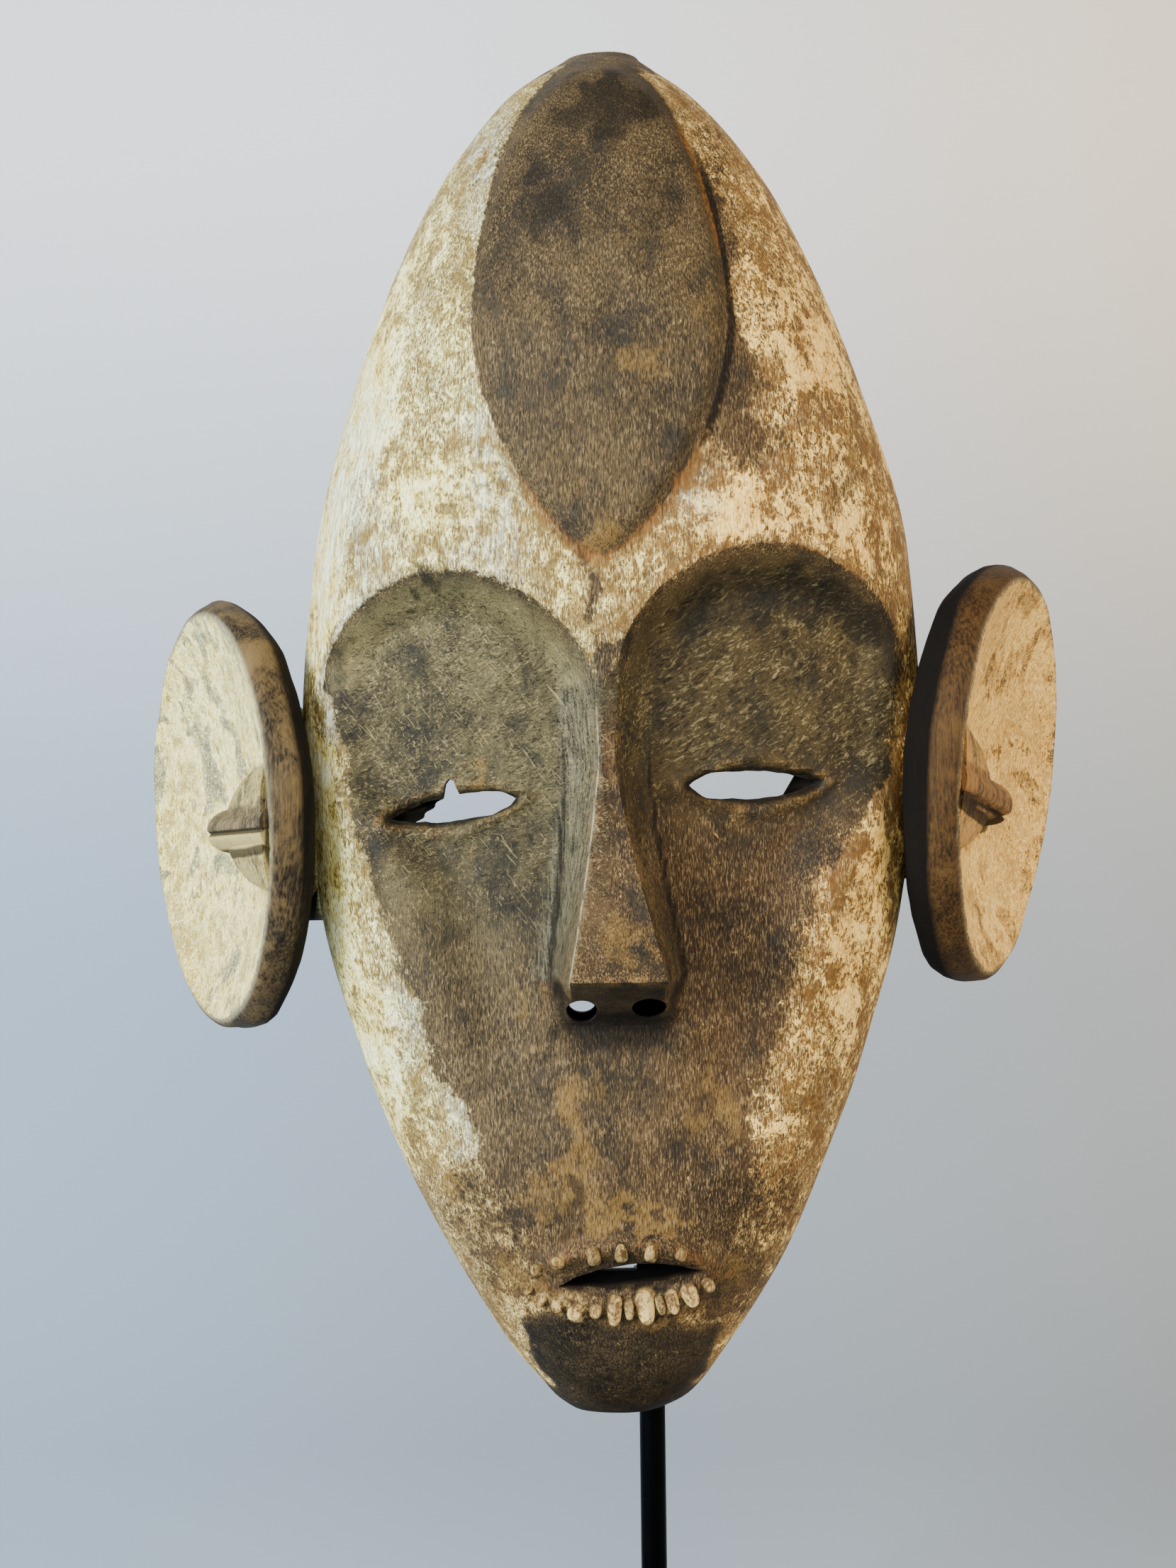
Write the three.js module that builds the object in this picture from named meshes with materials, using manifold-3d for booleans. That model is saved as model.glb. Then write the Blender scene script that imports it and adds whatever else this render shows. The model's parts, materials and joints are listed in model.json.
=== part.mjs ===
// A carved wooden mask with round dished ears, hanging on a black steel display stand.
// Millimetres, +Z up, the viewer looks along +Y. The origin is the centre of the base plate's underside.
import * as THREE from 'three';
import { mergeVertices } from 'three/addons/utils/BufferGeometryUtils.js';
import Module from 'manifold-3d';

const wasm = await Module();
wasm.setup();

// Driving dimensions of the stand
const BASE = { width: 170, depth: 150, thickness: 8, corner: 6 };
const ROD = { diameter: 8, y: 28, bend: 14, bend_steps: 5, reach: 38, below_crown: 8, sides: 12 };
const CROSSBAR = { length: 150, height: 20, thickness: 3, height_on_mask: 262 };
const GAP = 0.3;

// Driving dimensions of the mask, measured from its mid-line, its side edge and its chin
const CHIN_ABOVE_TABLE = 100;
const MIDLINE_X = -10;
const HEIGHT = 396.6;
const BACK = 30;
const WALL = 10;
const FRONT_WALL = 11;
const SIDE_SHARE = 0.82;
const BACK_TAPER = 0.965;
const ROUNDNESS = 2.15;

// Rows up the face: height, front of the mid-line, left half-width, right half-width
const ROWS = [
  [2.5, BACK, 12, 10],
  [0, 8, 11, 9],
  [0.8, -9, 13.5, 11],
  [5, -18, 19.4, 19.6],
  [10, -23, 23.6, 24.6],
  [20, -29, 32.2, 31.7],
  [35, -35.5, 41.7, 41.8],
  [50, -40, 50.4, 50.3],
  [75, -43.5, 62.9, 61.1],
  [100, -45.5, 72.9, 70.7],
  [150, -51, 86.8, 84.2],
  [200, -58, 91.2, 90.1],
  [250, -63, 87, 87],
  [300, -62, 74.4, 73],
  [350, -50, 54.2, 51.4],
  [370, -41, 40.9, 37.9],
  [383, -31, 30.2, 26.2],
  [391, -21.5, 19.4, 15.4],
  [395.6, -13, 13, 10.4],
  [HEIGHT, -11, 11.8, 9.8],
  [HEIGHT, BACK, 11, 9],
];

// Carving on the front. The first of a pair is the left side, the second the right.
const SOCKET = {
  x: [-44.3, 41.7], z: [211.4, 213.9], half_width: [39.1, 41], half_height: [32.3, 35.6],
  brow_slope: 4.5, inner_power: [1.6, 1.8],
};
const SOCKET_DEPTH = [[50, 0], [62, 0.8], [90, 3.6], [117, 6.5], [150, 10], [180, 12.5], [211, 12.5], [255, 11]];
const SOCKET_EDGE = [[50, 16], [62, 30], [74, 40], [108, 53], [120, 55], [159, 66], [174, 76], [190, 86], [211, 88]];
const EDGE_SLOPE = 15;
const NOSE = {
  tip_z: 131.7, underside: 14.5, bridge_z: 205, reach: 28, top_x: -2.3, tip_x: -0.1, ridge: 2.2, half_tip: 13,
  flank_top: 10.5, flank_tip: 6.6, widen_from: 190, root_z: 211, root_half: 2.95,
};
const PANEL = { x: -3.3, z: 312, half_width: 34.9, up: 80, down: 67, raised: 2.8, slope: 3.2 };

// Slits: bow is how far the upper and the lower edge arch, blunt is how full the left and the right end are
const EYE = [
  { x: -45.5, z: 177.5, half_length: 17.9, bow: [3.6, 3.5], blunt: [1.9, 5], tilt: 8.7 },
  { x: 38.6, z: 183.5, half_length: 18.1, bow: [3.6, 4.2], blunt: [5, 1.9], tilt: 0.7 },
];
const LID = { bevel: 3.5, sunk: 1.8, ring: 7, raised: 1.4 };
const MOUTH = { x: 2.4, z: 45.7, half_length: 20.3, bow: [4.3, 1.7], blunt: [2, 2], tilt: 5.6 };
const LIPS = { x: 1.5, z: 46.5, half_width: 30, half_height: 13, raised: 2.2, trough: [23.5, 7], sunk: 3.4 };
const SLIT_STEPS = 12;

// Peg teeth as [x, half width], standing on an oval round the mouth
const TEETH = {
  upper: [[-24, 1.9], [-18.4, 1.9], [-7.4, 1.9], [0.7, 1.8], [8.5, 1.9], [16.7, 1.9]],
  lower: [
    [-24.5, 2], [-19.7, 2.4], [-12.8, 2.8], [-7.1, 1.7], [-2.3, 2.6], [1.7, 1.6], [6.5, 2.6], [13.4, 2.8],
    [20.5, 2.8], [24.8, 2],
  ],
  oval_half_width: 26.5, oval_up: 8.5, oval_down: 9, slant: 0.05, tallness: 1.5, stand: 2.2,
};
const NOSTRIL = { x: [-9.8, 8.7], z: [122.4, 123.2], radius: [4, 4.3], flat: 0.9 };
const CHIP = { x: -46.4, z: 182.6, width: 2.2, height: 5 };

// Slits are cut from the first depth behind the face to the second, nostrils from the third to the fourth
const CUT = { slit: [-92, -6], nostril: [-80, -14] };

// Ears: oval dishes that stand out sideways and face a little forward
const EAR = {
  x: [-120, 117.5], y: [0, 2], z: [175.4, 184.6], half_height: [61.1, 59.6], half_depth: [50, 49],
  egg: [0.03, 0.1], turn: [29, 26], lean: [2, 6], thickness: [1, 1.2], dish: 12, root_x: 80, root_y: 6, root_half_depth: 19, root_half_height: 31,
};

// In each dish a ridge runs from the middle to the front rim, with a tongue along its top. Sections are
// [place towards the front rim, half height, top measured from the rim].
const RIDGE = {
  mound: [[-7, 5, -7.5], [-4, 9.5, -4.5], [3, 13.5, -3.5], [12, 17, -3], [34, 20, -3]],
  tongue: [[-9.5, 4, -5.5], [-8.5, 5.8, -3], [-5, 6.6, -1.6], [12, 6.6, -1.4], [36, 6, -2]],
  tip_reach: [1, 1.7], tip_down: [4.5, 9], root_down: [3.3, 3], sides: 12, bedded: 1.5,
};

// Rings of an ear after its dish: size against the rim, place along the normal, share of the way to the root
const EAR_EDGE = [
  [1, -0.8, 0], [1.045, -4.5, 0], [1.045, -9.5, 0], [0.98, -13.5, 0], [0.8, -16.5, 0.05], [0.62, -18, 0.25],
  [0.52, -18, 0.5], [0.5, -18, 1],
];
const HOLLOW = {
  bottom: 35, top: 383, back: 38, end_width: 9, bottom_width: 5, rounding: 18,
  heights: [35.5, 37, 40, 46, 56, 75, 110, 150, 190, 220, 250, 280, 310, 340, 360, 373, 381],
};
const CHIN_BLOCK = 12;

// The flat sheet on which the surfaces are triangulated, and how far apart its places are kept
const MESH = {
  half_width: 150, height: 480, border: 12, face: 11, hollow: 17, row_clear: 1.3, lattice_clear: 0.62,
};
const EAR_SPOKES = 24;

const clamp = (value, low, high) => Math.min(high, Math.max(low, value));
const mix = (a, b, t) => a + (b - a) * t;
const smooth = (low, high, value) => {
  const t = clamp((value - low) / (high - low), 0, 1);
  return t * t * (3 - 2 * t);
};

// A smooth curve through stations [at, value], which never swings past a station
function through(stations) {
  const at = stations.map((s) => s[0]);
  const value = stations.map((s) => s[1]);
  const slope = at.slice(1).map((a, i) => (value[i + 1] - value[i]) / (a - at[i]));
  const tangent = at.map((_, i) => {
    if (i === 0) return slope[0];
    if (i === at.length - 1) return slope[i - 1];
    const before = slope[i - 1];
    const after = slope[i];
    return before * after <= 0 ? 0 : (2 * before * after) / (before + after);
  });
  return (a) => {
    const x = clamp(a, at[0], at[at.length - 1]);
    let i = 0;
    while (i < at.length - 2 && x > at[i + 1]) i += 1;
    const h = at[i + 1] - at[i];
    const t = (x - at[i]) / h;
    const t2 = t * t;
    const t3 = t2 * t;
    return (2 * t3 - 3 * t2 + 1) * value[i] + (t3 - 2 * t2 + t) * h * tangent[i]
      + (3 * t2 - 2 * t3) * value[i + 1] + (t3 - t2) * h * tangent[i + 1];
  };
}

// How far each row is along the profile, as a share of its whole length
function rowPlaces(rows) {
  const places = [0];
  for (let i = 1; i < rows.length; i += 1) {
    const step = Math.hypot(rows[i][0] - rows[i - 1][0], rows[i][1] - rows[i - 1][1]);
    places.push(places[i - 1] + step);
  }
  return places.map((p) => p / places[places.length - 1]);
}

function rowCurves(rows) {
  const places = rowPlaces(rows);
  const column = (k) => through(rows.map((row, i) => [places[i], row[k]]));
  return { z: column(0), front: column(1), left: column(2), right: column(3) };
}

// A point of the plain dome: across runs from -1 at the left back edge to 1 at the right one
function domePoint(curves, across, up, back) {
  const z = curves.z(up);
  const front = curves.front(up);
  const edge = Math.max(0, front);
  const width = across < 0 ? curves.left(up) : curves.right(up);
  const share = Math.abs(across);
  let x = width;
  let y = edge;
  if (share < SIDE_SHARE) {
    const turn = (share / SIDE_SHARE) * Math.PI / 2;
    x = width * Math.sin(turn) ** (2 / ROUNDNESS);
    y = edge + (front - edge) * Math.cos(turn) ** (2 / ROUNDNESS);
  } else {
    const s = (share - SIDE_SHARE) / (1 - SIDE_SHARE);
    x = width * (1 - (1 - BACK_TAPER) * s * (back - edge) / back);
    y = mix(edge, back, s);
  }
  return [Math.sign(across) * x, y, z];
}

const socketDepth = through(SOCKET_DEPTH);
const socketEdge = through(SOCKET_EDGE);

// A cut that starts with a crisp edge and runs out softly into its floor, from 1 at the edge to 0
const wallFall = (distance, width) => (1 - clamp(distance / width, 0, 1)) ** 1.6;

function noseMiddle(z) {
  return mix(NOSE.tip_x, NOSE.top_x, clamp((z - NOSE.tip_z) / 50, 0, 1));
}

function noseHalfWidth(z) {
  const down = clamp((NOSE.widen_from - z) / (NOSE.widen_from - NOSE.tip_z), 0, 1);
  const root = (NOSE.root_half - NOSE.ridge) * smooth(NOSE.widen_from, NOSE.root_z, z);
  return NOSE.ridge + (NOSE.half_tip - NOSE.ridge) * down ** 1.25 + root;
}

const noseFlank = (z) => mix(NOSE.flank_tip, NOSE.flank_top, clamp((z - NOSE.tip_z) / 65, 0, 1));

// How wide the brow's edge slopes: narrow over the eye, wider where it turns down into the nose
const browSlope = (inner, up) => mix(SOCKET.brow_slope, NOSE.flank_top, smooth(0, 1, inner) * (1 - smooth(0.3, 0.9, up)));

// The hollow of the eye sockets and cheeks, and the nose that is left standing in it
function socketsAndNose(x, z) {
  const side = x < noseMiddle(z) ? 0 : 1;
  const dx = (x - SOCKET.x[side]) / SOCKET.half_width[side];
  const dz = (z - SOCKET.z[side]) / SOCKET.half_height[side];
  const depth = socketDepth(z);
  if (dz > 0) {
    const inner = side === 0 ? dx : -dx;
    const power = inner > 0 ? SOCKET.inner_power[side] : 2;
    const size = mix(SOCKET.half_width[side], SOCKET.half_height[side], dz / (Math.abs(dx) + dz));
    const inside = (1 - (Math.abs(dx) ** power + dz ** power) ** (1 / power)) * size;
    const crisp = inside > 0 ? 1 - wallFall(inside, browSlope(inner, dz)) : 0;
    const soft = smooth(0, EDGE_SLOPE, socketEdge(z) - Math.abs(x));
    return depth * mix(crisp, soft, smooth(0.3, 0.9, -inner) * (1 - smooth(0, 0.5, dz)));
  }
  const band = smooth(0, EDGE_SLOPE, socketEdge(z) - Math.abs(x));
  const reach = NOSE.reach * (clamp(NOSE.bridge_z - z, 0, 100) / (NOSE.bridge_z - NOSE.tip_z)) ** 1.5;
  const below = clamp(1 - (NOSE.tip_z - z) / NOSE.underside, 0, 1);
  const from_edge = Math.abs(x - noseMiddle(z)) - noseHalfWidth(z);
  const wall = wallFall(Math.max(0, from_edge), noseFlank(z));
  return depth * band - (depth + reach) * wall * below;
}

// The raised leaf-shaped panel on the forehead
function panelRise(x, z) {
  const dz = z - PANEL.z;
  const tall = dz > 0 ? Math.abs(dz / PANEL.up) ** 1.6 : Math.abs(dz / PANEL.down) ** 1.7;
  const wide = Math.abs((x - PANEL.x) / PANEL.half_width) ** (dz > 0 ? 2 : 1.5);
  const inside = (1 - tall - wide) * PANEL.half_width / 1.8;
  return -PANEL.raised * smooth(0, PANEL.slope, inside);
}

// Distance outside an almond slit, about right near its edge
function outsideSlit(x, z, slit) {
  const turn = THREE.MathUtils.degToRad(slit.tilt);
  const along = (x - slit.x) * Math.cos(turn) + (z - slit.z) * Math.sin(turn);
  const over = -(x - slit.x) * Math.sin(turn) + (z - slit.z) * Math.cos(turn);
  const s = Math.hypot(along / slit.half_length, over / slit.bow[over > 0 ? 0 : 1]);
  return (s - 1) * (s > 0 ? Math.hypot(along, over) / s : 0);
}

// Lids: a low swelling round each slit, bevelled down into it
function lids(x, z) {
  return EYE.reduce((sum, slit) => {
    const out = outsideSlit(x, z, slit);
    const swelling = LID.raised * (1 - smooth(LID.bevel, LID.ring, out));
    return sum - swelling + (LID.sunk + LID.raised) * (1 - smooth(-1, LID.bevel, out));
  }, 0);
}

function lips(x, z) {
  const s = Math.hypot((x - LIPS.x) / LIPS.half_width, (z - LIPS.z) / LIPS.half_height);
  const trough = Math.hypot((x - LIPS.x) / LIPS.trough[0], (z - LIPS.z) / LIPS.trough[1]);
  return -LIPS.raised * (1 - smooth(0.7, 1, s)) + LIPS.sunk * (1 - smooth(0.55, 1.1, trough));
}

const outer = rowCurves(ROWS);

function carving(x, z) {
  return socketsAndNose(x, z) + panelRise(x, z) + lids(x, z) + lips(x, z);
}

// The outside of the face: the dome pushed in and out along Y by the carving
function facePoint(across, up) {
  const [x, y, z] = domePoint(outer, across, up, BACK);
  const carved = carving(x, z) * (1 - smooth(SIDE_SHARE * 0.93, SIDE_SHARE, Math.abs(across)));
  return [x, y + carved, z];
}

// Outer sizes by height, for the hollow and for what sits on the face
const byHeight = (k) => through(ROWS.slice(2, -1).map((row) => [row[0], row[k]]));
const front_at = byHeight(1);
const left_at = byHeight(2);
const right_at = byHeight(3);

// Where the carved front lies above a place (x, z)
function faceY(x, z) {
  const share = Math.abs(x) / (x < 0 ? left_at(z) : right_at(z));
  return front_at(z) * (1 - Math.min(1, share) ** ROUNDNESS) ** (1 / ROUNDNESS) + carving(x, z);
}

// The hollow inside follows the dome and the sockets, a wall's thickness further in
function hollowRow(z) {
  const wall = WALL + CHIN_BLOCK * (1 - smooth(HOLLOW.bottom, HOLLOW.bottom + 40, z));
  const sockets = 0.85 * socketDepth(z) * (1 - smooth(225, 265, z));
  const round = Math.sqrt(1 - (1 - clamp((z - HOLLOW.bottom) / HOLLOW.rounding, 0, 1)) ** 2);
  return [
    z, Math.min(front_at(z) + FRONT_WALL + sockets, 0), (left_at(z) - wall) * round, (right_at(z) - wall) * round,
  ];
}

const hollow_rows = HOLLOW.heights.map(hollowRow);
hollow_rows.unshift([HOLLOW.bottom, HOLLOW.back, HOLLOW.bottom_width, HOLLOW.bottom_width]);
hollow_rows.push([HOLLOW.top, HOLLOW.back, HOLLOW.end_width, HOLLOW.end_width]);
const inner = rowCurves(hollow_rows);
const hollowPoint = (across, up) => domePoint(inner, across, up, HOLLOW.back);

// Across and up of the plain dome above a place (x, z) of its front
function placeOf(x, z) {
  let low = 0.06;
  let high = 0.94;
  for (let k = 0; k < 40; k += 1) {
    const middle = (low + high) / 2;
    if (outer.z(middle) < z) low = middle;
    else high = middle;
  }
  const width = x < 0 ? outer.left(low) : outer.right(low);
  const share = Math.asin(Math.min(1, Math.abs(x) / width) ** (ROUNDNESS / 2)) / (Math.PI / 2);
  return [Math.sign(x) * SIDE_SHARE * share, low];
}

// Places [x, z] at even steps along a line given by a function of a share from 0 to 1
function along(line, step) {
  const fine = Array.from({ length: 81 }, (_, k) => line(k / 80));
  const runs = [0];
  fine.slice(1).forEach((p, k) => runs.push(runs[k] + Math.hypot(p[0] - fine[k][0], p[1] - fine[k][1])));
  const count = Math.max(1, Math.round(runs[80] / step));
  return Array.from({ length: count + 1 }, (_, k) => {
    const run = (runs[80] * k) / count;
    let i = 0;
    while (i < 79 && runs[i + 1] < run) i += 1;
    const t = runs[i + 1] > runs[i] ? (run - runs[i]) / (runs[i + 1] - runs[i]) : 0;
    return [mix(fine[i][0], fine[i + 1][0], t), mix(fine[i][1], fine[i + 1][1], t)];
  });
}

// Lines along the brow's edge and the band beside each cheek
function browLines() {
  const lines = [];
  for (const side of [0, 1]) {
    const out = side === 0 ? -1 : 1;
    for (const share of [0, 0.35, 1]) {
      lines.push([(t) => {
        const [c, s] = [Math.cos(Math.PI * t), Math.sin(Math.PI * t)];
        const power = 2 / (c * out < 0 ? SOCKET.inner_power[side] : 2);
        const inside = share * browSlope(-c * out, s);
        return [
          SOCKET.x[side] + (SOCKET.half_width[side] - inside) * Math.sign(c) * Math.abs(c) ** power,
          SOCKET.z[side] + (SOCKET.half_height[side] - inside) * s ** power,
        ];
      }, 3.2]);
    }
    for (const inside of [0, EDGE_SLOPE / 2, EDGE_SLOPE]) {
      lines.push([(t) => {
        const z = mix(60, 206, t);
        return [out * Math.max(2, socketEdge(z) - inside), z];
      }, 7]);
    }
  }
  return lines;
}

// Lines down the nose's ridge and flanks, and across its tip and underside
function noseLines() {
  const lines = [];
  const bottom = NOSE.tip_z - NOSE.underside;
  for (const out of [-1, 1]) {
    for (const share of [0, 0.35, 1]) {
      lines.push([(t) => {
        const z = mix(NOSE.tip_z, NOSE.root_z, t);
        return [noseMiddle(z) + out * (noseHalfWidth(z) + share * noseFlank(z)), z];
      }, 3.2]);
      lines.push([(t) => [
        NOSE.tip_x + out * (NOSE.half_tip + share * NOSE.flank_tip), mix(bottom, NOSE.tip_z - 3, t),
      ], 4]);
    }
  }
  const reach = NOSE.half_tip + NOSE.flank_tip;
  for (const z of [bottom, bottom + 5, NOSE.tip_z]) lines.push([(t) => [mix(-reach, reach, t), z], 3.6]);
  return lines;
}

function panelLines() {
  const edge = (upper, inset) => (t) => {
    const turn = Math.PI * (upper ? t : 1 + t);
    const tall = Math.abs(Math.sin(turn)) ** (2 / (upper ? 1.6 : 1.7));
    const wide = Math.abs(Math.cos(turn)) ** (upper ? 1 : 2 / 1.5);
    return [
      PANEL.x + Math.sign(Math.cos(turn)) * (PANEL.half_width - inset) * wide,
      PANEL.z + (upper ? PANEL.up - inset : inset - PANEL.down) * tall,
    ];
  };
  return [0, PANEL.slope].flatMap((inset) => [[edge(true, inset), 5], [edge(false, inset), 4]]);
}

// Rings round a slit, at some distances outside it
function slitLines(slit, outsets) {
  const turn = THREE.MathUtils.degToRad(slit.tilt);
  return outsets.map((out) => [(t) => {
    const over = Math.sin(2 * Math.PI * t);
    const a = (slit.half_length + out) * Math.cos(2 * Math.PI * t);
    const b = (slit.bow[over > 0 ? 0 : 1] + out) * over;
    return [slit.x + a * Math.cos(turn) - b * Math.sin(turn), slit.z + a * Math.sin(turn) + b * Math.cos(turn)];
  }, 3.4]);
}

// Where the face is triangulated: rows of places along every carved edge, then a loose lattice between
function facePlaces() {
  const lines = [
    ...browLines(), ...noseLines(), ...panelLines(), ...slitLines(MOUTH, [0.3, 3.4, 8]),
    ...EYE.flatMap((slit) => slitLines(slit, [0.3, LID.bevel, LID.ring])),
  ];
  return lines.flatMap(([line, step]) => along(line, step).map(([x, z]) => placeOf(x, z)));
}

// A number that jumps about between -0.5 and 0.5, the same on every run
const jitter = (k) => {
  const wave = Math.sin(k * 12.9898) * 43758.5453;
  return wave - Math.floor(wave) - 0.5;
};

// Rows first, then the lattice, leaving out what comes too near to a place that is already there
function meshPlaces(rows, spacing) {
  const scale = ([across, up]) => [across * MESH.half_width, up * MESH.height];
  const kept = [];
  const add = (at, clear) => {
    const [s, t] = scale(at);
    if (Math.abs(at[0]) > 0.985 || at[1] < 0.008 || at[1] > 0.992) return;
    if (kept.every((k) => Math.hypot(k[0] - s, k[1] - t) > clear)) kept.push([s, t]);
  };
  rows.forEach((row) => add(row, MESH.row_clear));
  const lines = Math.round(MESH.height / (spacing * 0.87));
  const columns = Math.round((2 * MESH.half_width) / spacing);
  for (let j = 1; j < lines; j += 1) {
    for (let i = 1; i < columns; i += 1) {
      const k = j * columns + i;
      const across = -1 + (2 * (i + 0.5 * (j % 2) + 0.05 * jitter(k))) / columns;
      add([across, (j + 0.05 * jitter(k + 0.5)) / lines], spacing * MESH.lattice_clear);
    }
  }
  const border = [];
  const wide = Math.round((2 * MESH.half_width) / MESH.border);
  const tall = Math.round(MESH.height / MESH.border);
  for (let i = 0; i < wide; i += 1) border.push([-1 + (2 * i) / wide, 0]);
  for (let j = 0; j < tall; j += 1) border.push([1, j / tall]);
  for (let i = wide; i > 0; i -= 1) border.push([-1 + (2 * i) / wide, 1]);
  for (let j = tall; j > 0; j -= 1) border.push([-1, j / tall]);
  return { places: [...border.map(scale), ...kept], border: border.length };
}

// Joins places in the plane so that no triangle's circle holds another place. Each place in turn opens the
// triangles whose circles hold it, and is joined to the edge of the gap.
function triangulate(places) {
  const far = 40 * MESH.height;
  const points = [...places, [-far, -far], [far, -far], [0, far]];
  const count = places.length;
  const circled = (a, b, c) => {
    const [ax, ay] = points[a];
    const [bx, by] = [points[b][0] - ax, points[b][1] - ay];
    const [cx, cy] = [points[c][0] - ax, points[c][1] - ay];
    const d = 2 * (bx * cy - by * cx);
    const x = (cy * (bx * bx + by * by) - by * (cx * cx + cy * cy)) / d;
    const y = (bx * (cx * cx + cy * cy) - cx * (bx * bx + by * by)) / d;
    return { corners: [a, b, c], x: ax + x, y: ay + y, reach: x * x + y * y };
  };
  let triangles = [circled(count, count + 1, count + 2)];
  for (let i = 0; i < count; i += 1) {
    const [x, y] = points[i];
    const open = triangles.filter((t) => (x - t.x) ** 2 + (y - t.y) ** 2 < t.reach);
    const gone = new Set(open);
    triangles = triangles.filter((t) => !gone.has(t));
    const sides = new Set(open.flatMap(({ corners: [a, b, c] }) => [`${a},${b}`, `${b},${c}`, `${c},${a}`]));
    for (const side of sides) {
      const [a, b] = side.split(',').map(Number);
      if (!sides.has(`${b},${a}`)) triangles.push(circled(a, b, i));
    }
  }
  return triangles.map((t) => t.corners).filter((corners) => corners.every((corner) => corner < count));
}

// A closed body: a surface point(across, up) whose whole border lies in one plane Y = back, and a flat back
function carvedBody(point, rows, spacing, back_middle) {
  const { places, border } = meshPlaces(rows, spacing);
  const points = places.map(([s, t]) => point(s / MESH.half_width, t / MESH.height));
  const faces = triangulate(places);
  const middle = points.push(back_middle) - 1;
  for (let k = 0; k < border; k += 1) faces.push([(k + 1) % border, k, middle]);
  return bodyFromFaces(points, faces);
}

// Drops what collapsed to a line, and merges points that lie together
function bodyFromFaces(points, faces) {
  const geometry = new THREE.BufferGeometry();
  geometry.setAttribute('position', new THREE.Float32BufferAttribute(points.flat(), 3));
  geometry.setIndex(faces.flat());
  return solidOf(geometry);
}

function solidOf(geometry) {
  geometry.deleteAttribute('normal');
  geometry.deleteAttribute('uv');
  const merged = mergeVertices(geometry, 1e-4);
  const index = merged.index.array;
  const kept = [];
  for (let i = 0; i < index.length; i += 3) {
    const [a, b, c] = [index[i], index[i + 1], index[i + 2]];
    if (a !== b && b !== c && c !== a) kept.push(a, b, c);
  }
  const mesh = new wasm.Mesh({
    numProp: 3,
    vertProperties: new Float32Array(merged.attributes.position.array),
    triVerts: new Uint32Array(kept),
  });
  return new wasm.Manifold(mesh);
}

function geometryOf(solid) {
  const mesh = solid.getMesh();
  const geometry = new THREE.BufferGeometry();
  geometry.setAttribute('position', new THREE.Float32BufferAttribute(mesh.vertProperties, 3));
  geometry.setIndex(Array.from(mesh.triVerts));
  return geometry;
}

// Rings of points joined into a closed body, with a point in the middle of the first and last ring
function ringBody(rings) {
  const spokes = rings[0].length;
  const points = rings.flat();
  const middleOf = (ring) => [0, 1, 2].map((k) => ring.reduce((sum, p) => sum + p[k], 0) / spokes);
  const first = points.push(middleOf(rings[0])) - 1;
  const last = points.push(middleOf(rings.at(-1))) - 1;
  const faces = [];
  for (let k = 0; k < spokes; k += 1) {
    const next = (k + 1) % spokes;
    faces.push([first, k, next]);
    for (let r = 0; r < rings.length - 1; r += 1) {
      const a = r * spokes;
      const b = a + spokes;
      faces.push([a + k, b + k, b + next], [a + k, b + next, a + next]);
    }
    const end = (rings.length - 1) * spokes;
    faces.push([last, end + next, end + k]);
  }
  return bodyFromFaces(points, faces);
}

// The three directions of an ear: forward along its dish, up it, and out of it
function earFrame(side) {
  const out = side === 0 ? -1 : 1;
  const turn = THREE.MathUtils.degToRad(EAR.turn[side]);
  const lean = THREE.MathUtils.degToRad(EAR.lean[side]);
  const up = new THREE.Vector3(out * Math.sin(lean), 0, Math.cos(lean));
  const level = new THREE.Vector3(out * Math.cos(turn), -Math.sin(turn), 0);
  const normal = level.addScaledVector(up, -level.dot(up)).normalize();
  const forward = new THREE.Vector3().crossVectors(up, normal).multiplyScalar(-out);
  return { out, up, normal, forward, centre: new THREE.Vector3(EAR.x[side], EAR.y[side], EAR.z[side]) };
}

const dishFloor = (scale) => -EAR.dish * (1 - Math.min(1, scale / 0.97) ** 2.2);

function ridgeBody(side, sections) {
  const { out, up, normal, forward, centre } = earFrame(side);
  const [first, last] = [sections[0][0] * RIDGE.tip_reach[side], sections.at(-1)[0]];
  const rings = sections.map(([p, half_height, top]) => {
    const place = p < 0 ? p * RIDGE.tip_reach[side] : p;
    const down = mix(RIDGE.tip_down[side], RIDGE.root_down[side], (place - first) / (last - first));
    const bed = dishFloor(Math.abs(place) / EAR.half_depth[side]) - RIDGE.bedded;
    return Array.from({ length: RIDGE.sides }, (_, k) => {
      const turn = (2 * Math.PI * k * out) / RIDGE.sides;
      const point = centre.clone().addScaledVector(forward, place);
      point.addScaledVector(up, half_height * Math.cos(turn) - down);
      return point.addScaledVector(normal, mix(bed, top, Math.max(0, Math.sin(turn)) ** 0.8)).toArray();
    });
  });
  return ringBody(rings);
}

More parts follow.
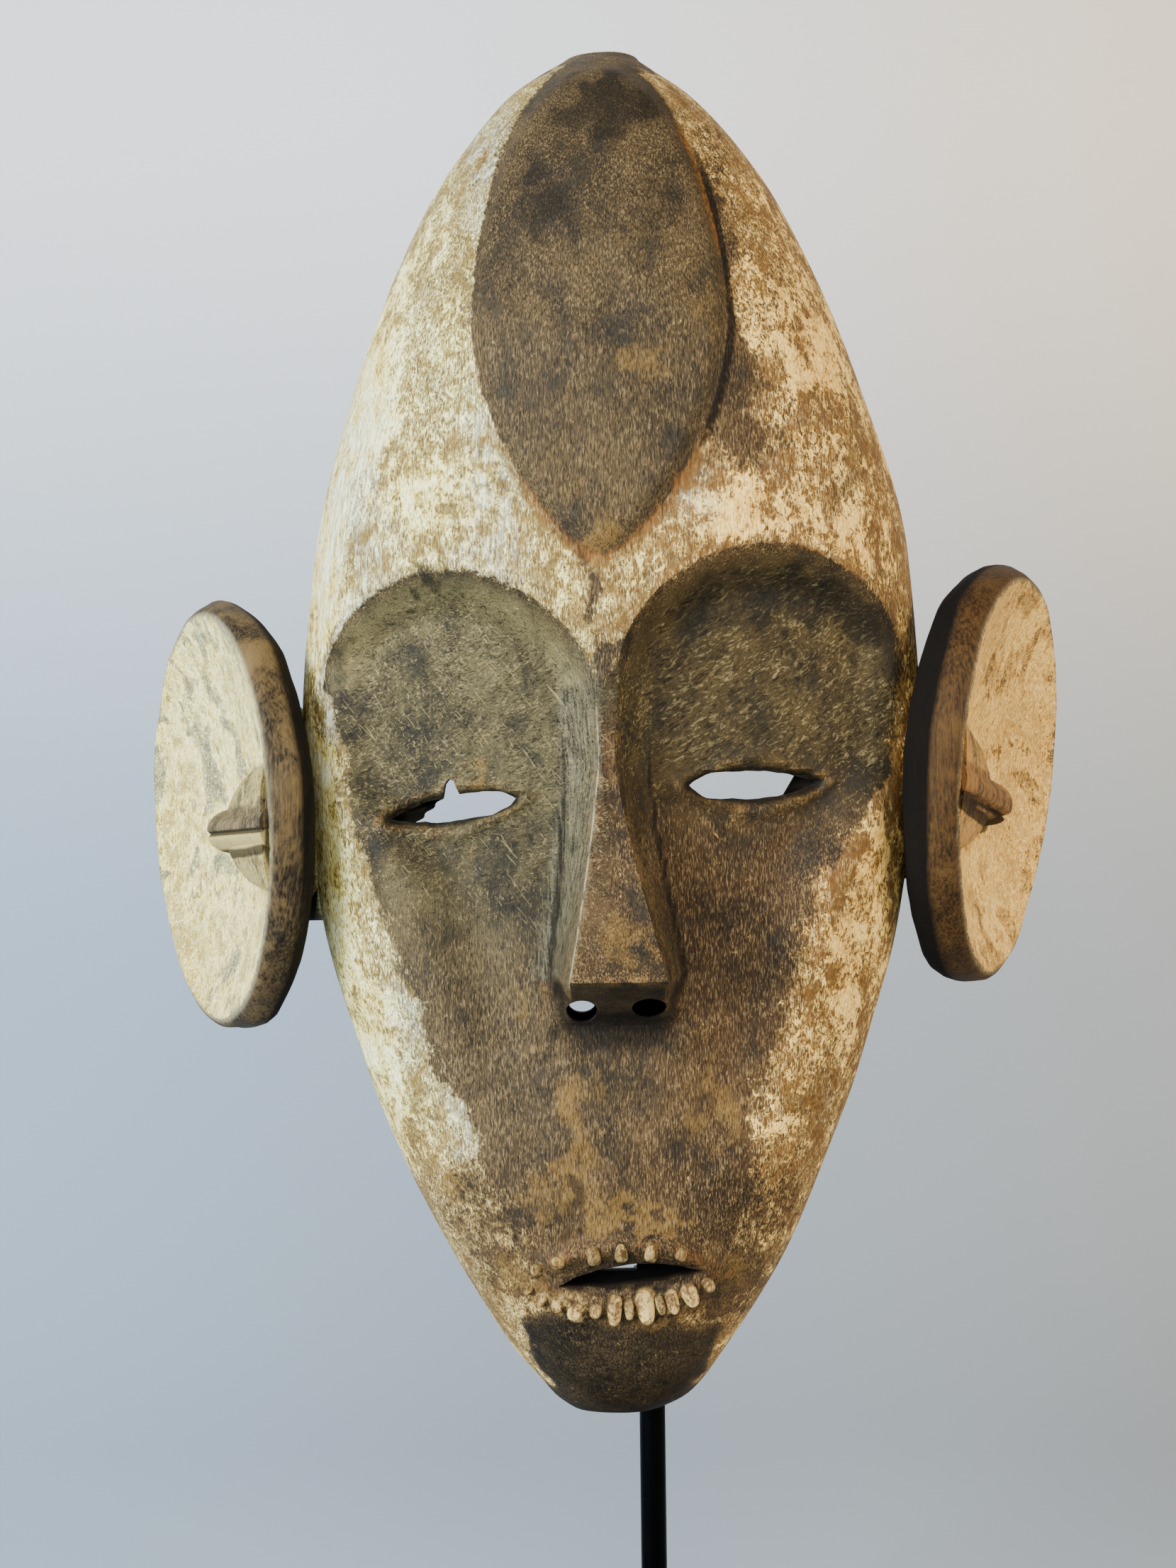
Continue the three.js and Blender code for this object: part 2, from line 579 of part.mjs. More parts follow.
// One ear: rings from the middle of the dish over the rim, round the back and in to the side of the face
function ear(side) {
  const { out, up, normal, forward, centre } = earFrame(side);
  const spoke = (k) => (2 * Math.PI * k * -out) / EAR_SPOKES;
  const ringAt = ([scale, offset, rooted]) => Array.from({ length: EAR_SPOKES }, (_, k) => {
    const egg = 1 + EAR.egg[side] * Math.sin(spoke(k));
    const p = scale * egg * EAR.half_depth[side] * Math.cos(spoke(k));
    const q = scale * EAR.half_height[side] * Math.sin(spoke(k));
    const point = centre.clone().addScaledVector(forward, p).addScaledVector(up, q);
    point.addScaledVector(normal, rooted === undefined ? offset : offset * EAR.thickness[side]);
    if (rooted) {
      const root = new THREE.Vector3(out * EAR.root_x, EAR.root_y, EAR.z[side]);
      root.y -= EAR.root_half_depth * Math.cos(spoke(k));
      root.z += EAR.root_half_height * Math.sin(spoke(k));
      point.lerp(root, rooted);
    }
    return point.toArray();
  });
  const dish = [0.3, 0.5, 0.68, 0.84, 0.94].map((scale) => [scale, dishFloor(scale)]);
  const rings = [...dish, ...EAR_EDGE].map(ringAt);
  return ringBody(rings).add(ridgeBody(side, RIDGE.mound)).add(ridgeBody(side, RIDGE.tongue));
}

// A slit with two bowed edges and pointed ends, cut along Y through the front wall
function slitCutter({ x, z, half_length, bow, blunt, tilt }) {
  const shape = new THREE.Shape();
  const arch = (s) => 1 - Math.abs(s) ** blunt[s < 0 ? 0 : 1];
  shape.moveTo(-half_length, 0);
  for (let k = 1; k <= SLIT_STEPS; k += 1) {
    const s = -Math.cos((Math.PI * k) / SLIT_STEPS);
    shape.lineTo(half_length * s, -bow[1] * arch(s));
  }
  for (let k = 1; k < SLIT_STEPS; k += 1) {
    const s = Math.cos((Math.PI * k) / SLIT_STEPS);
    shape.lineTo(half_length * s, bow[0] * arch(s));
  }
  return frontCutter(shape, x, z, CUT.slit, THREE.MathUtils.degToRad(tilt));
}

function frontCutter(shape, x, z, [from, to], turn) {
  const geometry = new THREE.ExtrudeGeometry(shape, { depth: to - from, bevelEnabled: false, curveSegments: 7 });
  geometry.rotateX(Math.PI / 2);
  geometry.rotateY(-turn);
  geometry.translate(x, to, z);
  return solidOf(geometry);
}

function chipCutter() {
  const shape = new THREE.Shape();
  shape.moveTo(-CHIP.width / 2, -CHIP.height / 2);
  shape.lineTo(CHIP.width, -CHIP.height / 2);
  shape.lineTo(CHIP.width / 2, CHIP.height / 2);
  shape.lineTo(-CHIP.width / 4, CHIP.height / 2);
  shape.closePath();
  return frontCutter(shape, CHIP.x, CHIP.z, CUT.slit, 0);
}

function nostrilCutter(side) {
  const shape = new THREE.Shape();
  const radius = NOSTRIL.radius[side];
  shape.absellipse(0, 0, radius, radius * NOSTRIL.flat, 0, 2 * Math.PI);
  return frontCutter(shape, NOSTRIL.x[side], NOSTRIL.z[side], CUT.nostril, 0);
}

// Peg teeth round the mouth: upper ones hang from the lip, lower ones stand on it
function teeth() {
  const pegs = [];
  for (const [row, rise] of [[TEETH.upper, TEETH.oval_up], [TEETH.lower, -TEETH.oval_down]]) {
    for (const [x, half_width] of row) {
      const share = x / TEETH.oval_half_width;
      const z = MOUTH.z + rise * Math.sqrt(1 - share * share) + TEETH.slant * x;
      const peg = new THREE.SphereGeometry(1, 6, 4);
      peg.rotateX(Math.PI / 2);
      peg.scale(half_width, TEETH.stand, half_width * TEETH.tallness);
      peg.rotateY(Math.sign(rise) * share * 0.8);
      peg.translate(x, faceY(x, z), z);
      pegs.push(solidOf(peg));
    }
  }
  return pegs;
}

function maskGeometry() {
  let solid = carvedBody(facePoint, facePlaces(), MESH.face, [0, BACK, HEIGHT / 2]);
  const hollow = carvedBody(hollowPoint, [], MESH.hollow, [0, HOLLOW.back, HEIGHT / 2]);
  solid = solid.add(ear(0)).add(ear(1));
  for (const peg of teeth()) solid = solid.add(peg);
  solid = solid.subtract(hollow);
  for (const side of [0, 1]) {
    solid = solid.subtract(slitCutter(EYE[side])).subtract(nostrilCutter(side));
  }
  solid = solid.subtract(chipCutter()).subtract(slitCutter(MOUTH)).simplify(0.03);
  return geometryOf(solid);
}

// A round bar through a chain of points in the plane X = 0
function barGeometry(path, radius, sides) {
  const rings = path.map(([y, z], i) => {
    const [y0, z0] = path[Math.max(0, i - 1)];
    const [y1, z1] = path[Math.min(path.length - 1, i + 1)];
    const run = Math.hypot(y1 - y0, z1 - z0);
    const across = [(z1 - z0) / run, -(y1 - y0) / run];
    return Array.from({ length: sides }, (_, k) => {
      const turn = (2 * Math.PI * k) / sides;
      const side = radius * Math.sin(turn);
      const over = radius * Math.cos(turn);
      return [side, y + across[0] * over, z + across[1] * over];
    });
  });
  return geometryOf(ringBody(rings));
}

// Straight up behind the mask, then bent forward under the crown, where the mask hangs on it
function rodPath() {
  const top = CHIN_ABOVE_TABLE + HOLLOW.top - ROD.below_crown - ROD.diameter / 2;
  const path = [[ROD.y, BASE.thickness], [ROD.y, top - ROD.bend]];
  for (let k = 1; k <= ROD.bend_steps; k += 1) {
    const turn = (Math.PI / 2) * (k / ROD.bend_steps);
    path.push([ROD.y - ROD.bend * (1 - Math.cos(turn)), top - ROD.bend * (1 - Math.sin(turn))]);
  }
  path.push([ROD.y - ROD.reach, top]);
  return path;
}

function baseGeometry() {
  const shape = new THREE.Shape();
  const [w, d, r] = [BASE.width / 2, BASE.depth / 2, BASE.corner];
  shape.moveTo(-w + r, -d);
  shape.lineTo(w - r, -d);
  shape.absarc(w - r, -d + r, r, -Math.PI / 2, 0);
  shape.lineTo(w, d - r);
  shape.absarc(w - r, d - r, r, 0, Math.PI / 2);
  shape.lineTo(-w + r, d);
  shape.absarc(-w + r, d - r, r, Math.PI / 2, Math.PI);
  shape.lineTo(-w, -d + r);
  shape.absarc(-w + r, -d + r, r, Math.PI, 1.5 * Math.PI);
  return new THREE.ExtrudeGeometry(shape, { depth: BASE.thickness, bevelEnabled: false, curveSegments: 4 });
}

const wood = new THREE.MeshStandardMaterial({ color: 0x6f5b40, roughness: 0.8, metalness: 0 });
const steel = new THREE.MeshStandardMaterial({ color: 0x0c0d10, roughness: 0.3, metalness: 0.6 });

function named(name, geometry, material, x, y, z) {
  const mesh = new THREE.Mesh(geometry, material);
  mesh.name = name;
  mesh.position.set(x, y, z);
  return mesh;
}

const rim_y = ROD.y - ROD.diameter / 2 - GAP - CROSSBAR.thickness - GAP;
const mask_y = rim_y - BACK;
const crossbar = new THREE.BoxGeometry(CROSSBAR.length, CROSSBAR.thickness, CROSSBAR.height);

const part = new THREE.Group();
part.add(named('mask', maskGeometry(), wood, MIDLINE_X, mask_y, CHIN_ABOVE_TABLE));
part.add(named('stand_base', baseGeometry(), steel, 0, 0, 0));
part.add(named('stand_rod', barGeometry(rodPath(), ROD.diameter / 2, ROD.sides), steel, 0, 0, GAP));
part.add(named(
  'stand_crossbar', crossbar, steel,
  MIDLINE_X, rim_y + GAP + CROSSBAR.thickness / 2, CHIN_ABOVE_TABLE + CROSSBAR.height_on_mask,
));

export default part;
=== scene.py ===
# %% [markdown]
# # A carved wooden mask on its black display stand
# The solid frame of the part gives the sizes of the stand's plate and strip. This lesson lays a finely carved
# surface over it, then the layers that years of use have left: dark pigment, worn white clay, rubbed edges and dust.

import json
from math import radians

import bpy
import numpy as np
from mathutils import Matrix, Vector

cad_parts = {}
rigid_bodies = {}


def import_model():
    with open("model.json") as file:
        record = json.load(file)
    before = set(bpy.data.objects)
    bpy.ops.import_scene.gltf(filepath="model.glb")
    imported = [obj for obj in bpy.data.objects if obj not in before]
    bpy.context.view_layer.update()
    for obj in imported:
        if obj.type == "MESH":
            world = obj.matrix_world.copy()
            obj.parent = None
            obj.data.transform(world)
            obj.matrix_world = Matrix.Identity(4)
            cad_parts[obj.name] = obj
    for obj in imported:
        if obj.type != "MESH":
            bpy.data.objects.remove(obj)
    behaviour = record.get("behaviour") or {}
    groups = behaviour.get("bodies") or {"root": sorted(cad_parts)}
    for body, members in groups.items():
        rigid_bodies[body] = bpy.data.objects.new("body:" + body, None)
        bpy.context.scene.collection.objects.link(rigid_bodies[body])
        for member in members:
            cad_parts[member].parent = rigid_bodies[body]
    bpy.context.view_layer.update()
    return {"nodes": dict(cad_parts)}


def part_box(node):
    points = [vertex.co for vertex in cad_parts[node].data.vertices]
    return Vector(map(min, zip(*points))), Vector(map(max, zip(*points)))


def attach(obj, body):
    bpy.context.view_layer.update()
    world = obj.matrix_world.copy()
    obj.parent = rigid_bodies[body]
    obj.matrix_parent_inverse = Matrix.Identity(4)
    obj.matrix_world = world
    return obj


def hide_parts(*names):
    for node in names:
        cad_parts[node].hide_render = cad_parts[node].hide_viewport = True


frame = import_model()
MM = 0.001
print("nodes", sorted(frame["nodes"]))

# %% [markdown]
# The mask is worked out in millimetres from its own zero: mid-line, side edge and chin. Where that zero
# stands on the stand is one fixed shift, and the solid's own box is printed from it here.

# %% Place of the mask
CHIN = np.array([-10.0, -9.6, 100.0])
HEIGHT, BACK, WALL, FRONT_WALL = 396.6, 30.0, 10.0, 11.0
lowest, highest = (np.array(corner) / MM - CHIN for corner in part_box("mask"))
print("solid mask from", lowest.round(1), "to", highest.round(1))

# %% [markdown]
# Three small helpers carry all the shapes. `smooth` eases from 0 to 1, `mix` runs between two values, and
# `through` draws a curve through stations that never swings past one of them, as a bent batten does.

# %% Easing and curves
def smooth(low, high, value):
    """0 below low, 1 above high, and the cubic 3t^2 - 2t^3 between."""
    t = np.clip((value - low) / (high - low), 0, 1)
    return t * t * (3 - 2 * t)


def mix(a, b, t):
    """a + (b - a) t"""
    return a + (b - a) * t


def through(stations):
    """A cubic between stations [at, value]. Its slope at a station is the harmonic mean of the slopes beside it."""
    at, value = np.array(stations, float).T
    run = np.diff(at)
    slope = np.diff(value) / run
    tangent = np.zeros_like(at)
    tangent[0], tangent[-1] = slope[0], slope[-1]
    both = slope[:-1] * slope[1:]
    total = np.where(slope[:-1] + slope[1:] == 0, 1, slope[:-1] + slope[1:])
    tangent[1:-1] = np.where(both > 0, 2 * both / total, 0)

    def curve(x):
        x = np.clip(x, at[0], at[-1])
        i = np.clip(np.searchsorted(at, x, side="right") - 1, 0, len(run) - 1)
        h = run[i]
        t = (x - at[i]) / h
        t2, t3 = t * t, t * t * t
        return (
            (2 * t3 - 3 * t2 + 1) * value[i] + (t3 - 2 * t2 + t) * h * tangent[i]
            + (3 * t2 - 2 * t3) * value[i + 1] + (t3 - t2) * h * tangent[i + 1]
        )

    return curve


print("half way", smooth(0, 1, 0.5), through([[0, 0], [1, 1]])(0.5))

# %% [markdown]
# The plain block is a dome. Each row up the face gives its height, how far its front stands out, and its
# half width on either side, and the curve between the rows is the block before any carving.

# %% Rows of the plain block
CHIN_CHAMFER = 2.5
ROWS = np.array([
    [CHIN_CHAMFER, BACK, 10.6, 8.6], [0, 8, 11, 9], [0.8, -9, 13.5, 11], [5, -18, 19.4, 19.6],
    [10, -23, 23.6, 24.6], [20, -29, 32.2, 31.7], [35, -35.5, 41.7, 41.8], [50, -40, 50.4, 50.3],
    [75, -43.5, 62.9, 61.1], [100, -45.5, 72.9, 70.7], [150, -51, 86.8, 84.2], [200, -58, 91.2, 90.1],
    [250, -63, 87, 87], [300, -62, 74.4, 73], [350, -50, 54.2, 51.4], [370, -41, 40.9, 37.9], [383, -31, 30.2, 26.2],
    [391, -21.5, 19.4, 15.4], [395.6, -13, 13, 10.4], [HEIGHT, -11, 11.8, 9.8], [HEIGHT, BACK, 11, 9],
])
SIDE_SHARE, BACK_TAPER, ROUNDNESS = 0.82, 0.965, 2.15


def row_curves(rows):
    """Each column of the rows as a curve of the share of the way along the profile (height, front)."""
    steps = np.hypot(np.diff(rows[:, 0]), np.diff(rows[:, 1]))
    places = np.concatenate([[0], np.cumsum(steps)]) / steps.sum()
    return [through(np.column_stack([places, rows[:, k]])) for k in range(4)]


def dome(curves, across, up, back):
    """A super-oval arch (exponent 2.15) from side edge to side edge, then a straight, slightly tapering side
    wall back to the plane y = back, which never drops below the chamfer under the chin. across runs from -1
    to 1, up from 0 at the chin to 1 at the crown."""
    z, front, left, right = (curve(up) for curve in curves)
    edge = np.maximum(0, front)
    width = np.where(across < 0, left, right)
    share = np.abs(across)
    turn = np.clip(share / SIDE_SHARE, 0, 1) * np.pi / 2
    s = np.clip((share - SIDE_SHARE) / (1 - SIDE_SHARE), 0, 1)
    arch_x = width * np.sin(turn) ** (2 / ROUNDNESS)
    arch_y = edge + (front - edge) * np.abs(np.cos(turn)) ** (2 / ROUNDNESS)
    side_x = width * (1 - (1 - BACK_TAPER) * s * (back - edge) / back)
    on_side = share >= SIDE_SHARE
    x = np.sign(across) * np.where(on_side, side_x, arch_x)
    y = np.where(on_side, mix(edge, back, s), arch_y)
    over_chamfer = np.maximum(z, CHIN_CHAMFER * smooth(8, BACK, y))
    return x, y, np.where(on_side, over_chamfer, z)


outer = row_curves(ROWS)
print("widest", max(ROWS[:, 2] + ROWS[:, 3]), "mm")

# %% [markdown]
# The carver sank two great sockets under arched brows and left the nose standing between them. The cut is
# steeper at the brow and runs out softly into the cheek, so its depth is a function of the place (x, z).

# %% Sockets and nose
SOCKET_X, SOCKET_Z = (-44.3, 41.7), (211.4, 213.9)
SOCKET_HALF_WIDTH, SOCKET_HALF_HEIGHT = (39.1, 41), (32.3, 35.6)
INNER_POWER, BROW_SLOPE, EDGE_SLOPE = (1.6, 1.8), 13, 24
socket_depth = through([[50, 0], [62, 0.8], [90, 3.6], [117, 6.5], [150, 10], [180, 12.5], [211, 12.5], [255, 11]])
socket_edge = through([
    [50, 16], [62, 30], [74, 40], [108, 53], [120, 55], [159, 66], [174, 76], [190, 86], [211, 88],
])
TIP_Z, UNDERSIDE, BRIDGE_Z, REACH, HALF_TIP, RIDGE_HALF = 131.7, 14.5, 205, 27.4, 13, 2.2
FLANK_TOP, FLANK_TIP, WIDEN_FROM, ROOT_Z, ROOT_HALF = 10.5, 6.6, 190, 211, 2.95


def wall_fall(distance, width):
    """(1 - distance/width)^1.6: 1 at a crisp edge, running out to 0."""
    return (1 - np.clip(distance / width, 0, 1)) ** 1.6


def nose_middle(z):
    """The ridge leans: straight from x = -0.1 at the tip to -2.3 fifty millimetres up."""
    return mix(-0.1, -2.3, np.clip((z - TIP_Z) / 50, 0, 1))


def nose_half(z):
    """Half the ridge's flat: narrow at the bridge, widening by the power 1.25 down to the tip."""
    down = np.clip((WIDEN_FROM - z) / (WIDEN_FROM - TIP_Z), 0, 1)
    widened = (HALF_TIP - RIDGE_HALF) * down**1.25
    return RIDGE_HALF + widened + (ROOT_HALF - RIDGE_HALF) * smooth(WIDEN_FROM, ROOT_Z, z)


def nose_flank(z):
    """Width of the nose's sloping side."""
    return mix(FLANK_TIP, FLANK_TOP, np.clip((z - TIP_Z) / 65, 0, 1))


def in_brow(x, z, side):
    """Millimetres inside the brow's arch, a super-oval that is fuller towards the nose."""
    dx = (x - SOCKET_X[side]) / SOCKET_HALF_WIDTH[side]
    dz = np.maximum((z - SOCKET_Z[side]) / SOCKET_HALF_HEIGHT[side], 1e-6)
    inner = dx if side == 0 else -dx
    power = np.where(inner > 0, INNER_POWER[side], 2)
    size = mix(SOCKET_HALF_WIDTH[side], SOCKET_HALF_HEIGHT[side], dz / (np.abs(dx) + dz))
    return (1 - (np.abs(dx) ** power + dz**power) ** (1 / power)) * size, inner, dz


def sockets_and_nose(x, z):
    """Depth of the sockets inside the brows and side bands, less the nose, which stands out to its tip."""
    depth = socket_depth(z)
    soft = smooth(0, EDGE_SLOPE, socket_edge(z) - np.abs(x))
    reach = REACH * (np.clip(BRIDGE_Z - z, 0, 100) / (BRIDGE_Z - TIP_Z)) ** 1.5
    below = np.clip(1 - (TIP_Z - z) / UNDERSIDE, 0, 1) ** 1.4
    from_edge = np.abs(x - nose_middle(z)) - nose_half(z)
    lower = depth * soft - (depth + reach) * wall_fall(np.maximum(0, from_edge), nose_flank(z)) * below
    sunk = np.zeros(np.shape(x))
    for side in (0, 1):
        inside, inner, dz = in_brow(x, z, side)
        by_nose = smooth(0, 1, inner) * (1 - smooth(0.3, 0.9, dz))
        slope = mix(BROW_SLOPE, FLANK_TOP, by_nose)
        eased = 0.5 * smooth(0, slope, inside) + 0.5 * np.clip(inside / slope, 0, 1)
        wall = mix(eased, 1 - wall_fall(inside, slope), by_nose) * (inside > 0)
        upper = depth * mix(wall, soft, smooth(0.3, 0.9, -inner) * (1 - smooth(0, 0.5, dz)))
        here = (x < nose_middle(z)) if side == 0 else (x >= nose_middle(z))
        sunk = np.where(here, np.where(z > SOCKET_Z[side], upper, lower), sunk)
    return sunk


print("socket floor", float(sockets_and_nose(np.array([-44.0]), np.array([200.0]))[0]), "mm deep")

# %% [markdown]
# A leaf-shaped panel stands a little proud of the forehead. Lids swell round the eye slits, and the lips
# are a low oval with a trough, from which the peg teeth stand.

# %% Panel, eyes and lips
PANEL_X, PANEL_Z, PANEL_HALF, PANEL_UP, PANEL_DOWN = -3.3, 312, 34.9, 80, 67
PANEL_RAISED, PANEL_SLOPE = 2.8, 3.2
EYES = [
    dict(x=-45.5, z=177.5, half=17.9, bow=(3.6, 3.5), blunt=(1.9, 5), tilt=8.7),
    dict(x=38.6, z=183.5, half=18.1, bow=(3.6, 4.2), blunt=(5, 1.9), tilt=0.7),
]
MOUTH = dict(x=2.4, z=45.7, half=20.3, bow=(4.3, 1.7), blunt=(2, 2), tilt=5.6)
LIPS_X, LIPS_Z, LIPS_HALF, LIPS_TALL, LIPS_RAISED, LIPS_SUNK = 1.5, 46.5, 30, 13, 2.2, 3.4


def in_panel(x, z):
    """About the millimetres inside the leaf: a super-oval with blunter powers above than below."""
    dz, dx = z - PANEL_Z, np.abs(x - PANEL_X) / PANEL_HALF
    tall = np.where(dz > 0, np.abs(dz / PANEL_UP) ** 1.6, np.abs(dz / PANEL_DOWN) ** 1.7)
    return (1 - tall - np.where(dz > 0, dx**2, dx**1.5)) * PANEL_HALF / 1.8


def outside_slit(x, z, slit):
    """About the distance outside an almond slit: its oval radius less one, times the distance from its middle."""
    turn = radians(slit["tilt"])
    along = (x - slit["x"]) * np.cos(turn) + (z - slit["z"]) * np.sin(turn)
    over = -(x - slit["x"]) * np.sin(turn) + (z - slit["z"]) * np.cos(turn)
    s = np.maximum(np.hypot(along / slit["half"], over / np.where(over > 0, *slit["bow"])), 1e-6)
    return (s - 1) * np.hypot(along, over) / s


def lids(x, z):
    """A swelling of 1.4 mm up to 7 mm round each slit, bevelled 1.8 mm below the face at the slit itself."""
    total = np.zeros(np.shape(x))
    for slit in EYES:
        out = outside_slit(x, z, slit)
        total = total + 3.2 * (1 - smooth(-1, 3.5, out)) - 1.4 * (1 - smooth(3.5, 7, out))
    return total


def lips(x, z):
    """The low oval of the lips, less the trough along its middle."""
    s = np.hypot((x - LIPS_X) / LIPS_HALF, (z - LIPS_Z) / LIPS_TALL)
    trough = np.hypot((x - LIPS_X) / 23.5, (z - LIPS_Z) / 7)
    return LIPS_SUNK * (1 - smooth(0.55, 1.1, trough)) - LIPS_RAISED * (1 - smooth(0.7, 1, s))


def carving(x, z):
    """All that is cut from the plain block, in millimetres along y."""
    return sockets_and_nose(x, z) - PANEL_RAISED * smooth(0, PANEL_SLOPE, in_panel(x, z)) + lids(x, z) + lips(x, z)


print("nose tip stands", round(-float(carving(np.array([0.0]), np.array([TIP_Z + 0.1]))[0]), 1), "mm proud")

# %% [markdown]
# Nothing cut by hand is even. The knife leaves shallow facets and slow waves. Each is a sum of sine waves
# with their own directions, from a seeded generator, so the mask comes out the same each time.

# %% Marks of the hand
def hand_waves(seed, longest, shortest, count):
    """A function of (x, y, z) that sums waves of random direction between two lengths, about 1 high in all."""
    draw = np.random.default_rng(seed)
    length = np.exp(draw.uniform(np.log(shortest), np.log(longest), count))
    way = draw.normal(size=(3, count))
    way *= 2 * np.pi / (length * np.linalg.norm(way, axis=0))
    phase = draw.uniform(0, 2 * np.pi, count)

    def waves(x, y, z):
        total = np.zeros(np.shape(x))
        for kx, ky, kz, start in zip(*way, phase):
            total = total + np.sin(kx * x + ky * y + kz * z + start)
        return total / np.sqrt(count)

    return waves


slow = hand_waves(3, 70, 24, 14)
knife = hand_waves(7, 16, 7, 18)
print("slow waves at the chin", round(float(slow(0.0, 0.0, 0.0)), 2))

# %% [markdown]
# A crisp edge looks ragged where a grid crosses it at a slant. So grid points that lie close to an edge are
# drawn onto it first, as a carver works up to a scribed line, and each cell is then split along that line.

# %% Grid of the face
COLUMNS, SIDE_COLUMNS, LINES = 196, 9, 292
CELL = 1.35


def scribed_lines(x, z):
    """Signed distances from the crisp edges: brows, ridge of the nose, its tip and the leaf panel."""
    from_edge = np.abs(x - nose_middle(z)) - nose_half(z)
    on_nose = (z > TIP_Z - 2) & (z < ROOT_Z)
    brows = [np.where(z > SOCKET_Z[side], in_brow(x, z, side)[0], 99) for side in (0, 1)]
    tip = np.where(np.abs(x) < HALF_TIP + FLANK_TIP, z - TIP_Z, 99)
    return [*brows, np.where(on_nose, from_edge, 99), tip, in_panel(x, z)]


def drawn_to_lines(across, up):
    """Moves points within half a cell of a line onto it, and their neighbours less, then reads back the
    shares across and up. Returns them and how near each point is to any line."""
    x, _, z = dome(outer, across, up, BACK)
    da = np.gradient(x, axis=1) / np.gradient(across, axis=1)
    du = np.gradient(z, axis=0) / np.gradient(up, axis=0)
    start = x.copy(), z.copy()
    free = np.abs(across) < SIDE_SHARE * 0.9
    half, step = CELL / 2, 0.05
    for k in range(5):
        here = scribed_lines(x, z)[k]
        gx = (scribed_lines(x + step, z)[k] - here) / step
        gz = (scribed_lines(x, z + step)[k] - here) / step
        size = np.maximum(np.hypot(gx, gz), 0.2)
        away = here / size
        pull = np.clip(away, -half, half) * (1 - smooth(half, 5 * half, np.abs(away))) * (size < 5) * free
        x, z = x - pull * gx / size, z - pull * gz / size
    near = np.min(np.abs(scribed_lines(x, z)), axis=0)
    inside = (np.abs(du) > 50) & (np.abs(da) > 1) & free
    across = across + np.where(inside, (x - start[0]) / np.where(inside, da, 1), 0)
    up = up + np.where(inside, (z - start[1]) / np.where(inside, du, 1), 0)
    return across, up, near


def face_points(across, up):
    """The dome pushed along y by the carving, with slow waves of 0.35 mm and knife facets of 0.12 mm."""
    x, y, z = dome(outer, across, up, BACK)
    fade = 1 - smooth(SIDE_SHARE * 0.93, SIDE_SHARE, np.abs(across))
    level = 1 - smooth(SIDE_SHARE, 1, np.abs(across))
    hand = (0.35 * slow(x, y, z) + 0.12 * knife(x, y, z)) * smooth(0.03, 0.08, up) * (1 - smooth(0.93, 0.97, up))
    return np.stack([x, y + carving(x, z) * fade + hand * level * fade, z], -1)


front = np.linspace(-SIDE_SHARE, SIDE_SHARE, COLUMNS)
side_steps = np.linspace(SIDE_SHARE, 1, SIDE_COLUMNS + 1)[1:]
whole_row = np.concatenate([-side_steps[::-1], front, side_steps])
grid_across, grid_up = np.meshgrid(whole_row, np.linspace(0, 1, LINES))
grid_across, grid_up, nearness = drawn_to_lines(grid_across, grid_up)
face = face_points(grid_across, grid_up)
print("face grid", face.shape, "points on lines", int((nearness < 0.05).sum()))

# %% [markdown]
# A surface becomes a body once it is closed. `closed_grid` joins the grid's cells, splits each one along the
# nearer line, and closes the open border with a fan to one point. `closed_tube` does the same for rings.

# %% Closing surfaces
def closed_grid(points, middle, near=None):
    """Vertices and triangles of a grid (rows, columns) whose border lies in one plane, fanned to the middle."""
    rows, columns = points.shape[:2]
    index = np.arange(rows * columns).reshape(rows, columns)
    a, b, c, d = index[:-1, :-1], index[:-1, 1:], index[1:, 1:], index[1:, :-1]
    weight = np.zeros(rows * columns) if near is None else np.minimum(near.ravel(), 3)
    first = (weight[a] + weight[c] <= weight[b] + weight[d])[..., None]
    one = np.where(first, np.stack([a, b, c], -1), np.stack([a, b, d], -1))
    two = np.where(first, np.stack([a, c, d], -1), np.stack([b, c, d], -1))
    border = np.concatenate([index[0, :-1], index[:-1, -1], index[-1, :0:-1], index[:0:-1, 0]])
    fan = np.column_stack([np.roll(border, -1), border, np.full(len(border), rows * columns)])
    vertices = np.vstack([points.reshape(-1, 3), middle])
    return vertices, np.vstack([one.reshape(-1, 3), two.reshape(-1, 3), fan])


def closed_tube(rings):
    """Vertices and triangles of rings (count, spokes) joined in turn, with a middle point at either end."""
    count, spokes = rings.shape[:2]
    index = np.arange(count * spokes).reshape(count, spokes)
    after = np.roll(index, -1, axis=1)
    a, b, c, d = index[:-1], index[1:], after[1:], after[:-1]
    sides = np.stack([np.stack([a, b, c], -1), np.stack([a, c, d], -1)]).reshape(-1, 3)
    first, last = count * spokes, count * spokes + 1
    start = np.column_stack([np.full(spokes, first), index[0], after[0]])
    end = np.column_stack([np.full(spokes, last), after[-1], index[-1]])
    vertices = np.vstack([rings.reshape(-1, 3), rings[0].mean(0), rings[-1].mean(0)])
    return vertices, np.vstack([sides, start, end])


def body(name, vertices, triangles, place=CHIN):
    """A mesh object in metres, at the origin, its faces turned outwards if its volume came out negative."""
    a, b, c = vertices[triangles].transpose(1, 0, 2)
    if np.einsum("ij,ij", a, np.cross(b, c)) < 0:
        triangles = triangles[:, ::-1]
    mesh = bpy.data.meshes.new(name)
    mesh.from_pydata(((vertices + place) * MM).tolist(), [], triangles.tolist())
    mesh.update()
    piece = bpy.data.objects.new(name, mesh)
    bpy.context.scene.collection.objects.link(piece)
    return piece


mask = body("carved_mask", *closed_grid(face, [0, BACK, HEIGHT / 2], nearness))
print("face body", len(mask.data.polygons), "triangles")

